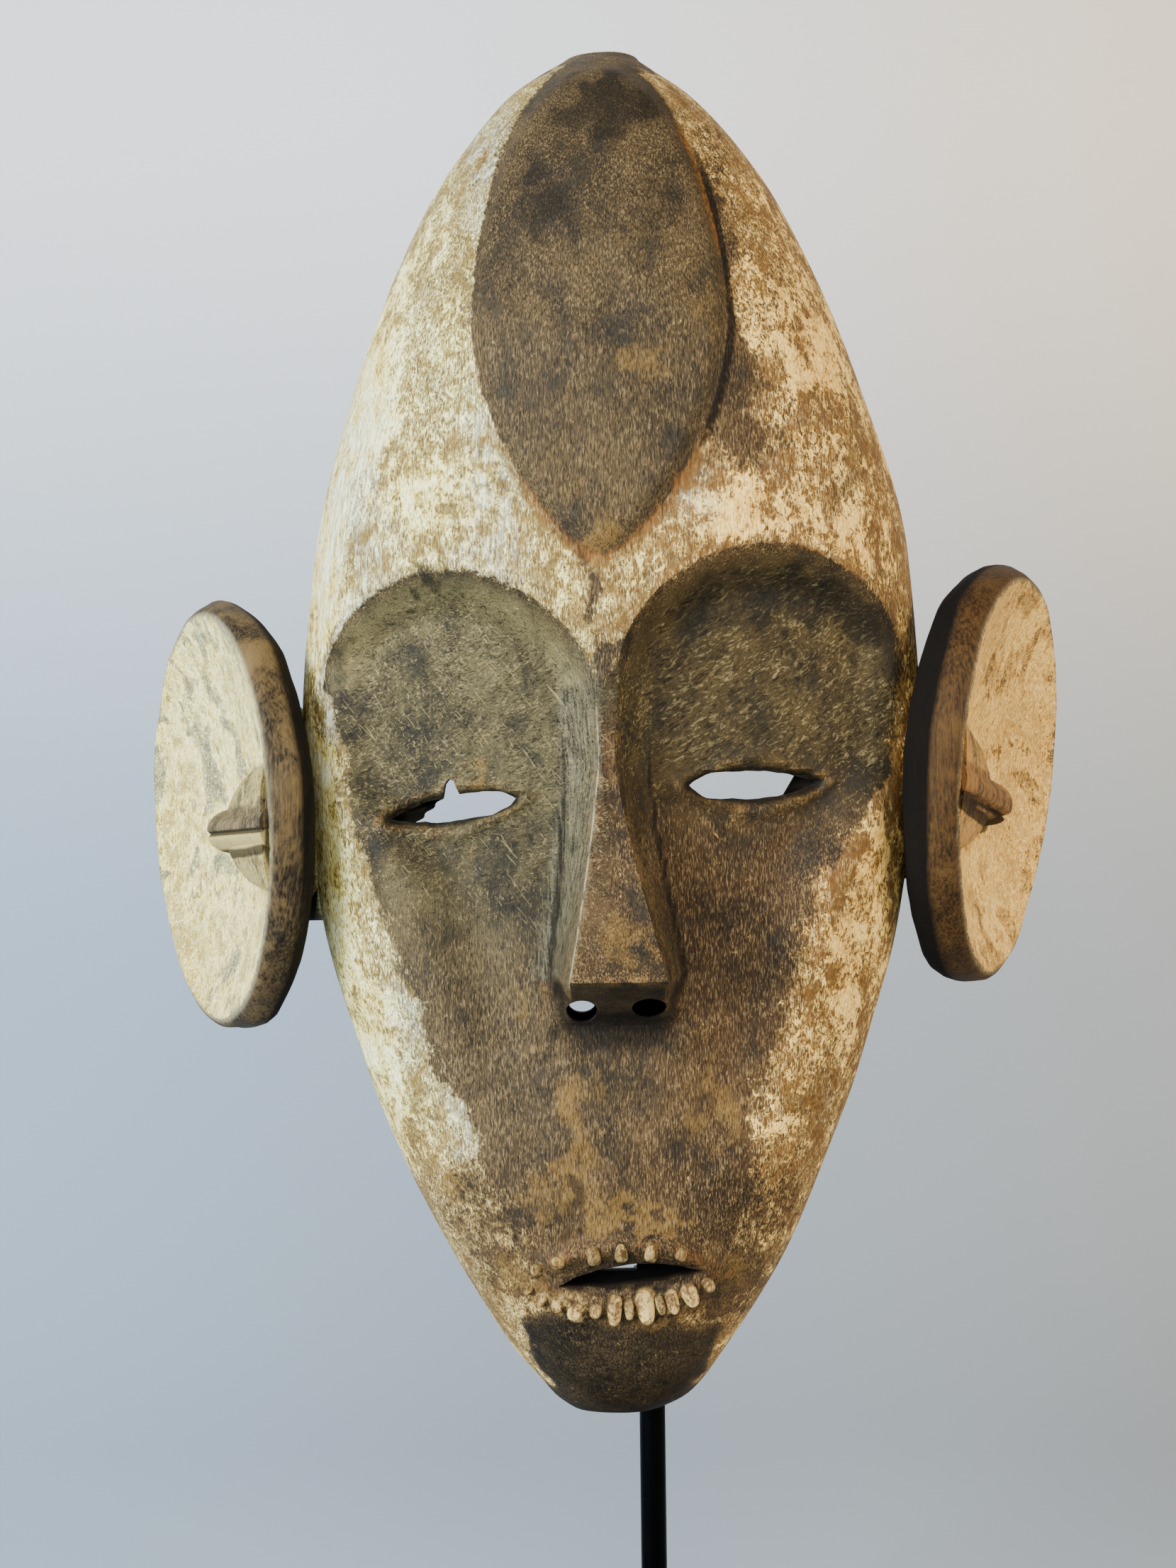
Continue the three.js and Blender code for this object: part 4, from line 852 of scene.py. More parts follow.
# Dry clay streaks, whose bluish white is partly a painted sheen of the cool window.
streaks_and_sheen = spots([
    [-76, 268, 12, 44, 1], [-34, 262, 8, 22, 0.9], [-32, 354, 7, 20, 0.7], [-84, 200, 5, 40, 0.8],
    [-44, 92, 7, 12, 0.4], [-60, 118, 6, 20, 0.4], [20, 262, 9, 8, 0.4],
]) * front_side * smooth(0.3, -1, leaf)
mouth_oval = np.hypot((X - LIPS_X) / LIPS_HALF, (Z - LIPS_Z + 1) / 14)
lip_glow = (smooth(1.35, 0.95, mouth_oval) - 0.5 * smooth(0.8, 0.5, mouth_oval)) * front_side * smooth(28, 34, Z)
lower_rim = ridge_of(leaf + 0.6, 1.7) * smooth(300, 262, Z) * front_side
# Painted light: orange along the panel's upper right rim, the warm window's light on its raised edge, laid with the
# wear.
right_rim = ridge_of(leaf - 0.3, 1.3) * front_side * smooth(8, 20, X) * smooth(376, 362, Z) * smooth(318, 335, Z)
rubbed_and_warm_lit = 0.9 * lower_rim + 0.9 * right_rim + 0.42 * lip_glow + 0.35 * proud * (Z < 200) * (nose_side > 1.5)
# Painted highlight: a pale line down the nose's left arris, the edge towards the cool window.
arris_highlight_zone = smooth(128, 134, Z) * smooth(214, 190, Z) * front_side * (X < 4)
arris = np.clip(X - nose_middle(Z) + nose_half(Z) + 0.1, -4, 4)
print("rubbed points", int((rubbed_and_warm_lit > 0.5).sum()))

# %% [markdown]
# Painted shade, with some old dirt, darkens the places light hardly reaches: a painted shadow under the nose, the
# crease beside it, the lines along the panel, sunk places, round the openings, along the ear tongues and between the
# teeth. Where a cut goes deep, its walls are painted nearly black as shade.

# %% Painted shade and dirt, teeth and openings
# Painted shadow under the nose's tip, spreading below it.
under_nose_shadow = smooth(-0.5, 1.5, TIP_Z - Z) * smooth(-1.5, 3, Z - TIP_Z + UNDERSIDE)
under_nose_shadow = under_nose_shadow * smooth(6, 3, nose_side + 0.6 * small)
shadow = 1.4 * np.exp(-np.hypot(X / 23, (Z - 116) / 9) ** 3) * (Z < TIP_Z)
under_nose_shadow = np.maximum(under_nose_shadow * (np.abs(X) < 30), shadow) * front_side
# Painted shade: a dark line outside the panel's right side, where its raised edge shades the forehead from the cool
# window.
groove = ridge_of(leaf + 1.4, 1.0) * smooth(4, 20, X) * smooth(262, 285, Z) * smooth(372, 350, Z) * front_side
# Painted shade in the crease at the foot of each nose flank.
crease_shade = ridge_of(nose_side - nose_flank(Z) + 0.6, 1.1) * smooth(124, 136, Z) * smooth(208, 186, Z) * front_side
# Painted shade in every sunk place, less above the eyes.
dirt_and_shade = 0.5 * under_nose_shadow + 0.5 * crease_shade + groove + 0.35 * sunk * (1 - 0.7 * above_eyes)
# Painted shade with dirt in a thin line round the foot of the panel's raised edge.
dirt_and_shade = dirt_and_shade + 0.25 * ridge_of(leaf + 0.6, 0.8) * front_side
# Painted shade round the eye slits and the mouth, darkest at their edges, where the bevels fall away.
for slit, reach, share in ((EYES[0], 3.5, 0.9), (EYES[1], 4, 0.9), (MOUTH, 2.2, 0.6)):
    dirt_and_shade = np.maximum(dirt_and_shade, smooth(reach, 0, outside_slit(X, Z, slit)) * share * (Y < -5) * face_part)
# The painted shade along the ear tongues is added off the face.
dirt_and_shade = dirt_and_shade + np.where(face_part, 0, 0.8 * tongue_edge_shade)
enamel, between = np.zeros(len(X)), np.zeros(len(X))
for way, row in ((1, UPPER), (-1, LOWER)):
    for x, half, height, pale in row:
        z = tooth_height(x, way)
        near_it = np.hypot((X - x) / (half * 1.15), (Z - z) / (half * height * 1.1))
        proud_by = face_y(np.full_like(Z, x), Z) - Y
        whole = smooth(1.15, 0.9, near_it) * smooth(0.1, 0.5, proud_by) * face_part * (Y < -20)
        enamel = np.maximum(enamel, whole * pale * (0.6 + 0.4 * smooth(-2, 3, way * (Z - z))))
        # Painted shade in a ring round the foot of each tooth.
        between = np.maximum(between, ridge_of(near_it - 1.3, 0.2) * (proud_by < 0.8))
# The painted shade between the teeth is added to the rest.
dirt_and_shade = dirt_and_shade + 0.5 * between * front_side * smooth(36, 40, Z + 12 * smooth(24, 12, np.abs(X)))
to_cut = [outside_slit(X, Z, slit) for slit in (*EYES, MOUTH)]
to_cut += [np.hypot(X - x, Z - 122) - 4.6 for x in NOSTRIL_X] + [np.hypot(X + 46, (Z - 183) * 0.8) - 3.2]
# Painted shade: the walls of the eyes, mouth and nostrils are painted near black.
opening_wall_shade = smooth(0.9, 0.4, np.min(to_cut, axis=0)) * smooth(1.2, 3, behind_face) * (Y < -5)
hidden = smooth(3, 5, behind_face) * smooth(3.5, 6, in_width) * (Z > HOLLOW_BOTTOM - 1) * (Z < HOLLOW_TOP + 1)
hidden = np.maximum(hidden * face_part, np.where(face_part, smooth(0.3, 0.7, facing[:, 1]), 0))
print("points on teeth", int((enamel > 0.2).sum()), "inside openings", int((opening_wall_shade > 0.5).sum()))

# %% [markdown]
# Each of these values is now kept on the mesh under its own name, one number for every point, and the
# materials read them back by that name.

# %% Values kept on the mesh
kept = dict(
    clay=clay, chin_dark=chin_dark, streaks_and_sheen=streaks_and_sheen, ochre=ochre * front_side, soot=soot * front_side, rubbed_and_warm_lit=rubbed_and_warm_lit,
    leaf=smooth(-0.6, 0.6, leaf) * front_side, proud=proud * smooth(212, 200, Z), dirt_and_shade=dirt_and_shade, enamel=enamel,
    # Painted light: the upper wall of the left socket, which faces down into shade, is painted lighter.
    left_hollow=left_hollow, left_top_painted_light=left_hollow * above_eyes * smooth(15, 4, in_arch), right_hollow=right_hollow,
    right_cheek=right_cheek, nose_left=nose_left, nose_front=nose_front, nose_top=nose_front * smooth(146, 188, Z),
    arris=arris, arris_highlight_zone=arris_highlight_zone, opening_wall_shade=opening_wall_shade, hidden=hidden, dish=dish, rim=rim, ear_back_shade=ear_back_shade,
    thin_edge_highlight=thin_edge_highlight, swelling=swelling * dish, roll=roll * dish, roll_top=roll_top,
    # cool: from warm on the right to cool on the left, partly the real colour, partly a painted tint of the windows.
    tone=0.5 + 0.3 * broad + 0.2 * middling, cool=smooth(40, -40, X) * mix(0.35, 1, smooth(58, 105, Z)),
)
for name, value in kept.items():
    carved.attributes.new(name, "FLOAT", "POINT").data.foreach_set("value", np.asarray(value, np.float32))
print("kept on the mesh", ", ".join(kept))

# %% [markdown]
# Materials are built from sums of patterns. `Wire` wraps one output of a node, so that plain Python sums on
# wires add the Math nodes, and `Recipe` holds one material and adds every other node by its type.

# %% Wires and recipes
class Wire:
    """One value in a material. Sums and products with numbers or other wires add Math nodes."""

    def __init__(self, recipe, socket):
        self.recipe, self.socket = recipe, socket

    def sum(self, operation, *values, clamp=False):
        settings = {"operation": operation, "use_clamp": clamp}
        return self.recipe.node("ShaderNodeMath", settings, dict(enumerate(values)))

    def __add__(self, other):
        return self.sum("ADD", self, other)

    def __radd__(self, other):
        return self.sum("ADD", other, self)

    def __sub__(self, other):
        return self.sum("SUBTRACT", self, other)

    def __rsub__(self, other):
        return self.sum("SUBTRACT", other, self)

    def __mul__(self, other):
        return self.sum("MULTIPLY", self, other)

    def __rmul__(self, other):
        return self.sum("MULTIPLY", other, self)

    def step(self, low, high):
        """Eases from 0 at low to 1 at high."""
        settings = {"interpolation_type": "SMOOTHSTEP", "data_type": "FLOAT"}
        return self.recipe.node("ShaderNodeMapRange", settings, {0: self, 1: low, 2: high, 3: 0.0, 4: 1.0})

    def held(self):
        """Cut off below 0 and above 1."""
        return self.sum("ADD", self, 0.0, clamp=True)


class Recipe:
    """One material: its Principled shader, and nodes added by type, settings and socket values."""

    def __init__(self, name, **constants):
        self.material = bpy.data.materials.new(name)
        self.material.use_nodes = True
        self.nodes, self.links = self.material.node_tree.nodes, self.material.node_tree.links
        self.shader = self.nodes["Principled BSDF"]
        for socket, value in constants.items():
            self.shader.inputs[socket.replace("_", " ")].default_value = value

    def node(self, kind, settings=None, inputs=None, out=0):
        made = self.nodes.new(kind)
        for key, value in (settings or {}).items():
            setattr(made, key, value)
        for key, value in (inputs or {}).items():
            if isinstance(value, Wire):
                self.links.new(value.socket, made.inputs[key])
            else:
                made.inputs[key].default_value = value
        return Wire(self, made.outputs[out])

    def kept(self, name):
        """A value kept on the mesh."""
        return self.node("ShaderNodeAttribute", {"attribute_name": name}, out=2)

    def along(self, stretch=1.0, tilt=0.0):
        """Object coordinates, drawn out by a factor along the height, which is first tilted sideways by degrees."""
        place = self.node("ShaderNodeTexCoord", out=3)
        inputs = {"Vector": place, "Rotation": (0, radians(tilt), 0), "Scale": (1, 1, stretch)}
        return self.node("ShaderNodeMapping", {"vector_type": "TEXTURE"}, inputs)

    def noise(self, vector, millimetres, detail=4.0, rough=0.55, distort=0.0):
        """Noise whose grain is about so many millimetres wide."""
        inputs = {"Vector": vector, "Scale": 1000 / millimetres, "Detail": detail, "Roughness": rough}
        return self.node("ShaderNodeTexNoise", {}, inputs | {"Distortion": distort})

    def blend(self, factor, a, b):
        """From colour a to colour b by a factor."""
        return self.node("ShaderNodeMix", {"data_type": "RGBA"}, {0: factor, 6: a, 7: b}, out=2)

    def layered(self, colour, *layers):
        """Lays each (share, tone) in turn over the colour below it."""
        for share, tone in layers:
            colour = self.blend(share, colour, tone)
        return colour

    def finish(self, colour, rough=None, heights=()):
        """Feeds colour and roughness, and chains one Bump node for each (height, strength, distance in mm)."""
        self.links.new(colour.socket, self.shader.inputs["Base Color"])
        if rough is not None:
            self.links.new(rough.socket, self.shader.inputs["Roughness"])
        normal = None
        for height, strength, distance in heights:
            inputs = {"Height": height, "Strength": strength, "Distance": distance * MM}
            normal = self.node("ShaderNodeBump", {}, inputs | ({"Normal": normal} if normal else {}))
        if normal:
            self.links.new(normal.socket, self.shader.inputs["Normal"])
        return self.material


def paint(red, green, blue):
    """A colour given as it looks on a screen, 0 to 255, turned into the light that Blender counts, and deepened
    by the power 1.3, because the picture's soft shoulder pales the browns under such bright windows."""
    share = np.array([red, green, blue]) / 255
    linear = np.where(share < 0.04045, share / 12.92, ((share + 0.055) / 1.055) ** 2.4)
    return (*(linear**1.3).tolist(), 1.0)


print("oak brown", [round(v, 3) for v in paint(110, 85, 55)])

# %% [markdown]
# The wood shows thousands of short upright strokes, pale where a fibre was raised and dark where pigment sits
# between. Soft mottling lies under them, and in the eye hollows the strokes slant as the brush went.

# %% Patterns of the wood
wood = Recipe("aged carved wood", Specular_IOR_Level=0.14)
blotch = wood.noise(wood.along(), 55, 3, 0.55, 0.6)
mottle = wood.noise(wood.along(1.4), 14, 6, 0.66, 0.5)
patch = wood.noise(wood.along(1.25), 5, 5, 0.7, 0.5)
crumb = wood.noise(wood.along(1.3), 1.6, 3, 0.7, 1.0)
stroke = wood.noise(wood.along(5.5), 0.36, 2, 0.55, 0.6)
grain = wood.noise(wood.along(16), 0.7, 3, 0.6, 0.2)
left_brush = wood.noise(wood.along(2.6, 70), 1.0, 4, 0.66, 1.8)
right_brush = wood.noise(wood.along(3, 60), 1.2, 5, 0.7, 1.4)
hair = wood.noise(wood.along(12, -38), 0.9, 1, 0.5, 1.8)
scratch = wood.noise(wood.along(22, 4), 0.9, 3, 0.6, 0.4)
in_left, in_right, ear_dish = wood.kept("left_hollow"), wood.kept("right_hollow"), wood.kept("dish")
upper = (in_left + in_right).held()
brush = in_right * right_brush + (1 - in_right) * left_brush
marks = upper * brush + (1 - upper) * stroke
pale_marks, dark_marks = marks.step(0.53, 0.63), 1 - marks.step(0.37, 0.47)
print("patterns", len(wood.nodes))

# %% [markdown]
# Bare wood has its own brown in each part of the face: olive on the leaf and in the left hollow, nearly black
# in the right one, reddish on the right cheek. Placed patches of ochre and soot are broken up by the noises.

# %% Bare wood
cool, streaks_and_sheen = wood.kept("cool"), wood.kept("streaks_and_sheen")
drift = blotch * 0.3 + mottle * 0.7 + (wood.kept("tone") - 0.5) * 0.15
broken = (patch - 0.5) * 1.1 + (crumb - 0.5) * 0.5


def two_tones(pattern, dark, light):
    """From a dark colour to a light one by a pattern."""
    return wood.blend(pattern, paint(*dark), paint(*light))


def by_side(warm, cold):
    """A colour that turns from warm on the right of the face to cool on its left: partly the wood's and clay's own
    colour, partly a painted tint of the warm and cool windows.
    """
    return two_tones(cool, warm, cold)


wide_drift = drift.step(0.3, 0.7)
bare = wood.blend(
    cool, two_tones(wide_drift, (62, 50, 35), (106, 85, 58)), two_tones(wide_drift, (58, 52, 41), (106, 93, 71)))
for place, share, dark, light in (
    ("leaf", 0.9, (68, 58, 44), (98, 84, 60)), ("left_hollow", 0.9, (56, 52, 38), (116, 108, 80)),
    ("right_cheek", 0.85, (54, 42, 29), (98, 77, 52)), ("right_hollow", 0.9, (58, 50, 34), (102, 88, 59)),
    ("nose_front", 0.85, (54, 43, 29), (104, 84, 58)),
):
    bare = wood.blend(wood.kept(place) * share, bare, two_tones(drift.step(0.32, 0.67), dark, light))
golden = (wood.kept("ochre") + broken).step(0.3, 0.8)
on_chin = (wood.kept("chin_dark") + broken * 0.8).step(0.15, 0.85)
chin_tone = two_tones((drift * 0.5 + crumb * 0.5).step(0.4, 0.62), (30, 26, 20), (70, 60, 45))
in_marks = (mottle + patch).step(0.7, 1.15) * (0.85 - on_chin * 0.6 - wood.kept("leaf") * 0.2)
bare = wood.layered(
    bare,
    (wood.kept("nose_top") * 0.75, two_tones(grain.step(0.3, 0.7), (40, 31, 21), (84, 64, 43))),
    (wood.kept("nose_left") * 0.8, two_tones(grain.step(0.32, 0.68), (58, 56, 45), (134, 130, 110))),
    # Painted light on the upper wall of the left socket.
    (wood.kept("left_top_painted_light") * 0.5, paint(160, 149, 110)),
    ((1 - mottle * 0.7 - patch * 0.3).step(0.5, 0.62) * 0.4, paint(62, 61, 53)),
    (golden * 0.55, paint(148, 120, 68)),
    (on_chin * 0.9, chin_tone),
    (dark_marks * (upper * 0.14 + 0.66), paint(30, 24, 16)),
    (pale_marks * in_marks, two_tones(upper, (148, 128, 94), (156, 142, 106))),
    (hair.step(0.66, 0.72) * (in_left * 0.4 + 0.06), paint(182, 168, 128)),
)
print("bare wood", len(wood.nodes))

# %% [markdown]
# The clay is cream where it is thin and chalk white where it lies thick, with soft clouds of tan, olive and
# grey in it. Its edge is crumbly, so the value kept on the mesh is added to noises from 14 mm down to 1 mm.

# %% White clay
squiggle = crumb.step(0.36, 0.64)
chalk = by_side((254, 218, 134), (255, 247, 176))
chalky = (mottle * 0.6 + patch * 0.4).step(0.42, 0.62) * 0.5 + squiggle * 0.5
cream = wood.blend(chalky, by_side((204, 154, 74), (216, 188, 92)), chalk)
tan, olive = by_side((140, 106, 58), (158, 134, 78)), by_side((102, 80, 48), (116, 101, 64))
thin_clay = wood.layered(
    wood.blend((blotch * 0.4 + patch * 0.6).step(0.4, 0.6), tan, olive),
    ((1 - mottle).step(0.52, 0.64) * 0.5, paint(120, 106, 92)),
    (squiggle * 0.45, by_side((204, 166, 104), (220, 204, 146))),
    (dark_marks * 0.3, paint(84, 66, 44)),
)
amount = wood.kept("clay") + ear_dish * 0.86
lean = amount - 0.54 - (1 - ear_dish) * cool * 0.2
lean = lean + (mottle - 0.5) * 1.6 + (patch - 0.5) * 1.7 + (crumb - 0.5) * (2.1 - ear_dish)
there = (amount + (crumb - 0.5) * 0.5 + (patch - 0.5) * 0.4).step(0.08, 0.26)
soft_share = cool * 0.75
cover = (soft_share * lean.step(-0.34, 0.24) + (1 - soft_share) * lean.step(-0.12, 0.14)) * there
smudge = (1 - mottle * 0.45 - patch * 0.4 - blotch * 0.15).step(0.48, 0.6) * there
thick = (mottle * 0.5 + patch * 0.5).step(0.5, 0.6) * there * cover
clay_marks = (patch + mottle).step(0.8, 1.1) * there
cloud = (blotch * 0.25 + mottle * 0.55 + patch * 0.2).step(0.5, 0.57)
grey_cloud = (1 - mottle * 0.65 - blotch * 0.2 - patch * 0.15).step(0.5, 0.57)
on_dish = ear_dish * (cool * 0.3 + 0.5)
dry_streaks_and_sheen = streaks_and_sheen * (patch + mottle).step(0.85, 1.1) * there
sooty = (wood.kept("soot") + broken).step(0.3, 0.8)
skin = wood.layered(
    bare,
    (there * 0.9, thin_clay),
    (cover * 0.94, cream),
    (smudge * (1.35 - amount - ear_dish).held() * 0.8, by_side((122, 90, 46), (134, 112, 62))),
    (thick * (cool * 0.35 + 0.3), by_side((255, 226, 150), (255, 252, 206))),
    (dark_marks * there * (cool * 0.22 + 0.5), by_side((98, 72, 40), (110, 92, 54))),
    (pale_marks * clay_marks * (cool * 0.2 + 0.6), by_side((253, 232, 176), (254, 250, 204))),
    (cloud * on_dish, by_side((150, 110, 54), (160, 138, 62))),
    (grey_cloud * on_dish, by_side((126, 96, 60), (132, 134, 118))),
    ((1 - left_brush).step(0.53, 0.62) * ear_dish * 0.7, by_side((255, 226, 158), (255, 252, 206))),
    # Dry streaks, with a painted bluish sheen in their pale part.
    (dry_streaks_and_sheen * 0.55, two_tones(scratch.step(0.42, 0.6), (236, 244, 238), (112, 112, 96))),
    (sooty * 0.72, paint(38, 35, 29)),
)
print("with clay", len(wood.nodes))

# %% [markdown]
# Last come the marks of handling and the painted light: orange wood on rubbed edges, with a painted warm light on
# the panel's upper right rim, painted highlights on the nose's left arris and the dishes' thin edges, the pale pegs,
# the dark rims of the ears, painted shade with old dirt in every groove, and the walls of the openings and the ears'
# backs painted near black as shade.

# %% Wear, dirt, painted shade and painted highlights
# Orange of worn wood on rubbed edges, and on the panel's upper right rim a painted warm light.
worn = (wood.kept("rubbed_and_warm_lit") + (patch - 0.5) * 0.9 + (stroke - 0.5) * 0.6).step(0.35, 0.85)
beside = wood.kept("arris")
arris_highlight = (1 - beside.sum("ABSOLUTE", beside).step(0.05, 0.34)) * (patch + stroke * 0.3).step(0.5, 0.7)
peg = two_tones((patch * 0.6 + crumb * 0.6).step(0.52, 0.7), (124, 92, 54), (234, 208, 146))
skin = wood.layered(
    skin,
    (worn * 0.75, two_tones(grain.step(0.35, 0.65), (88, 60, 28), (150, 108, 54))),
    (wood.kept("proud") * (patch + stroke).step(0.95, 1.15) * 0.3, paint(168, 136, 90)),
    # Painted highlights: down the nose's left arris and along the thin edges of the ear dishes.
    (arris_highlight * wood.kept("arris_highlight_zone") * 0.5 + wood.kept("thin_edge_highlight") * 0.6, paint(206, 200, 176)),
    (wood.kept("enamel") * 0.92, peg),
)
ridge_spots = (mottle * 0.6 + crumb * 0.4).step(0.42, 0.58)
tongue_spots = (mottle * 0.4 + grain * 0.6).step(0.42, 0.58)
ridge_tone = wood.blend(ridge_spots, paint(92, 78, 52), by_side((186, 146, 94), (176, 162, 116)))
tongue_side = wood.blend(tongue_spots, paint(66, 54, 44), by_side((160, 122, 78), (136, 120, 94)))
tongue_tone = wood.blend(wood.kept("roll_top"), paint(196, 180, 130), tongue_side)
streaked = grain * 0.6 + mottle * 0.4
left_rim = two_tones(streaked.step(0.38, 0.62), (40, 33, 24), (106, 92, 68))
right_rim = two_tones(streaked.step(0.35, 0.62), (44, 29, 13), (100, 74, 38))
# Pale patches on the rims, more towards the left: partly wear, partly painted cool light.
pale_rim = (mottle + patch * 0.5).step(0.65, 0.95) * (0.1 + cool * 0.4)
rim_tone = wood.blend(pale_rim, wood.blend(cool, right_rim, left_rim), paint(144, 122, 84))
# Painted shade with some old dirt, broken up by noise.
grime_and_shade = (wood.kept("dirt_and_shade") + (patch - 0.5) * 0.5 + (crumb - 0.5) * 0.3).step(0.25, 0.8)
opening_wall_shade, ear_back_shade = wood.kept("opening_wall_shade"), wood.kept("ear_back_shade")
skin = wood.layered(
    skin,
    (wood.kept("swelling") * 0.8, ridge_tone),
    (wood.kept("roll") * 0.85, tongue_tone),
    (wood.kept("rim") * 0.95, rim_tone),
    (wood.kept("hidden") * 0.95, two_tones((mottle + grain * 0.4).step(0.5, 0.9), (44, 31, 20), (96, 70, 44))),
    # Painted shade with old dirt, near black.
    (grime_and_shade * 0.85, paint(27, 21, 16)),
    # Painted shade on the walls of the openings.
    (opening_wall_shade, paint(9, 7, 6)),
    # Painted shade: the ears' backs are painted near black.
    (ear_back_shade * 0.96, paint(14, 11, 8)),
)
gloss = 0.6 - cover * 0.04 + (mottle - 0.5) * 0.3 + grime_and_shade * 0.2 + opening_wall_shade * 0.3 + ear_back_shade * 0.3
flakes, fibres = cover * 0.6 + crumb * 0.4, marks * 0.7 + grain * 0.3
wood.finish(skin, gloss.held(), [(flakes, 0.8, 0.5), (fibres, 0.65, 0.45), (patch, 0.35, 1.2)])
mask.data.materials.clear()
mask.data.materials.append(wood.material)
print("wood nodes", len(wood.nodes))

# %% [markdown]
# The stand is bent round bar, a plate and a flat strip, all under black gloss lacquer. A bar is a circle
# carried along its path. The plate's corners are rounded, and a small Bevel softens its edges.

# %% Stand
def bar(path, radius, sides=40):
    """A circle carried along points (y, z) in the plane x = 0, square to the path at each point."""
    way = np.gradient(path, axis=0)
    way /= np.linalg.norm(way, axis=1)[:, None]
    turn = (2 * np.pi * np.arange(sides) / sides)[None, :]
    side, over = radius * np.sin(turn), radius * np.cos(turn)
    y = path[:, :1] + way[:, 1:] * over
    z = path[:, 1:] - way[:, :1] * over
    return np.stack([side + 0 * y, y, z], -1)


ROD_Y, ROD_RADIUS, BEND, ROD_REACH, ROD_DROP, BASE_TOP = 28, 4, 14, 38, 7.7, 8.3
rod_top = CHIN[2] + HOLLOW_TOP - ROD_DROP - ROD_RADIUS
bend = np.linspace(0, np.pi / 2, 15)
rod_path = np.vstack([
    np.column_stack([np.full(40, ROD_Y), np.linspace(BASE_TOP, rod_top - BEND, 40, endpoint=False)]),
    np.column_stack([ROD_Y - BEND * (1 - np.cos(bend)), rod_top - BEND * (1 - np.sin(bend))]),
    np.column_stack([np.linspace(ROD_Y - BEND - 2, ROD_Y - ROD_REACH, 8), np.full(8, rod_top)]),
])
rod = body("fine_rod", *closed_tube(bar(rod_path, ROD_RADIUS)), place=np.zeros(3))


def slab(name, low, high, corner, bevel):
    """A flat block with rounded upright corners, whose edges a Bevel modifier softens."""
    low, high = np.array(low, float), np.array(high, float)
    turn = np.linspace(0, np.pi / 2, 9)
    quarter = np.column_stack([np.cos(turn), np.sin(turn)]) * corner
    half = (high[:2] - low[:2]) / 2 - corner
    turned_back = quarter[::-1] + half
    ring = np.vstack([quarter + half, turned_back * [-1, 1], -quarter - half, turned_back * [1, -1]])
    ring = ring + (high[:2] + low[:2]) / 2
    rings = np.stack([np.column_stack([ring, np.full(len(ring), z)]) for z in (low[2], high[2])])
    count = rings.shape[1]
    index = np.arange(count)
    after = np.roll(index, -1)
    sides = np.column_stack([index, after, after + count, index + count]).tolist()
    caps = [index[::-1].tolist(), (index + count).tolist()]
    mesh = bpy.data.meshes.new(name)
    mesh.from_pydata((rings.reshape(-1, 3) * MM).tolist(), [], sides + caps)
    piece = bpy.data.objects.new(name, mesh)
    bpy.context.scene.collection.objects.link(piece)
    soft = piece.modifiers.new("soft edge", "BEVEL")
    soft.width, soft.segments, soft.limit_method = bevel * MM, 3, "ANGLE"
    return piece


base_low, base_high = (np.array(c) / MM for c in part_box("stand_base"))
strip_low, strip_high = (np.array(c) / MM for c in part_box("stand_crossbar"))
base = slab("base_plate", base_low, base_high, 6, 0.8)
strip = slab("crossbar_strip", strip_low, strip_high, 1, 0.4)
print("rod stands to", round(rod_top + ROD_RADIUS, 1), "mm")

# %% [markdown]
# Lacquer is black and smooth, with a faint orange-peel ripple, dust that dulls it, and fine wipe marks.

# %% Black lacquer
lacquer = Recipe("black lacquer", Specular_IOR_Level=0.04)
ripple = lacquer.noise(lacquer.along(), 1.5, 2, 0.5)
dust = lacquer.noise(lacquer.along(), 16, 5, 0.7).step(0.5, 0.8)
wipe = lacquer.noise(lacquer.along(12), 2.5, 3, 0.6)
shade = lacquer.blend(dust * 0.08 + wipe * 0.02, paint(1, 2, 4), paint(38, 38, 44))
lacquer.finish(shade, 0.2 + dust * 0.2 + wipe * 0.1, [(ripple, 0.1, 0.2)])
for piece in (rod, base, strip):
    piece.data.materials.append(lacquer.material)
    piece.data.polygons.foreach_set("use_smooth", np.ones(len(piece.data.polygons), bool))
for piece in (base, strip):
    piece.data.set_sharp_from_angle(angle=radians(40))
print("lacquer nodes", len(lacquer.nodes))

# %% [markdown]
# Every piece rides with the part's one body and stands for its solid, which is hidden.

# %% Pieces and what they stand for
for piece, node, slot in (
    (mask, "mask", "carved_wood"), (rod, "stand_rod", "black_steel"), (base, "stand_base", "black_steel"),
    (strip, "stand_crossbar", "black_steel"),
):
    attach(piece, "root")
    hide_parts(node)
print("pieces", [piece.name for piece in (mask, rod, base, strip)])

# %% [markdown]
# The room is a pale sheet that runs along the floor and curves up behind. Its curve is a profile of the
# share of the way: flat, a quarter circle, then straight up, so no horizon line shows.

# %% Pale sweep
def sweep(half_width, near, far, bend_radius, height):
    """Rows of a profile (y, z) - floor, quarter circle, wall - carried across x."""
    turn = np.linspace(0, np.pi / 2, 24)
    corner = np.column_stack([far - bend_radius + bend_radius * np.sin(turn), bend_radius * (1 - np.cos(turn))])
    profile = np.vstack([[[near, 0]], corner, [[far, height]]])
    across = np.linspace(-half_width, half_width, 2)
    points = np.stack([np.column_stack([np.full(len(profile), x), profile]) for x in across])
    rows = len(profile)
    index = np.arange(rows - 1)
    quads = np.column_stack([index, index + rows, index + rows + 1, index + 1])
    mesh = bpy.data.meshes.new("floor_sweep")
    mesh.from_pydata(points.reshape(-1, 3).tolist(), [], quads.tolist())
    mesh.polygons.foreach_set("use_smooth", np.ones(len(mesh.polygons), bool))
    piece = bpy.data.objects.new("floor_sweep", mesh)
    bpy.context.scene.collection.objects.link(piece)
    return piece


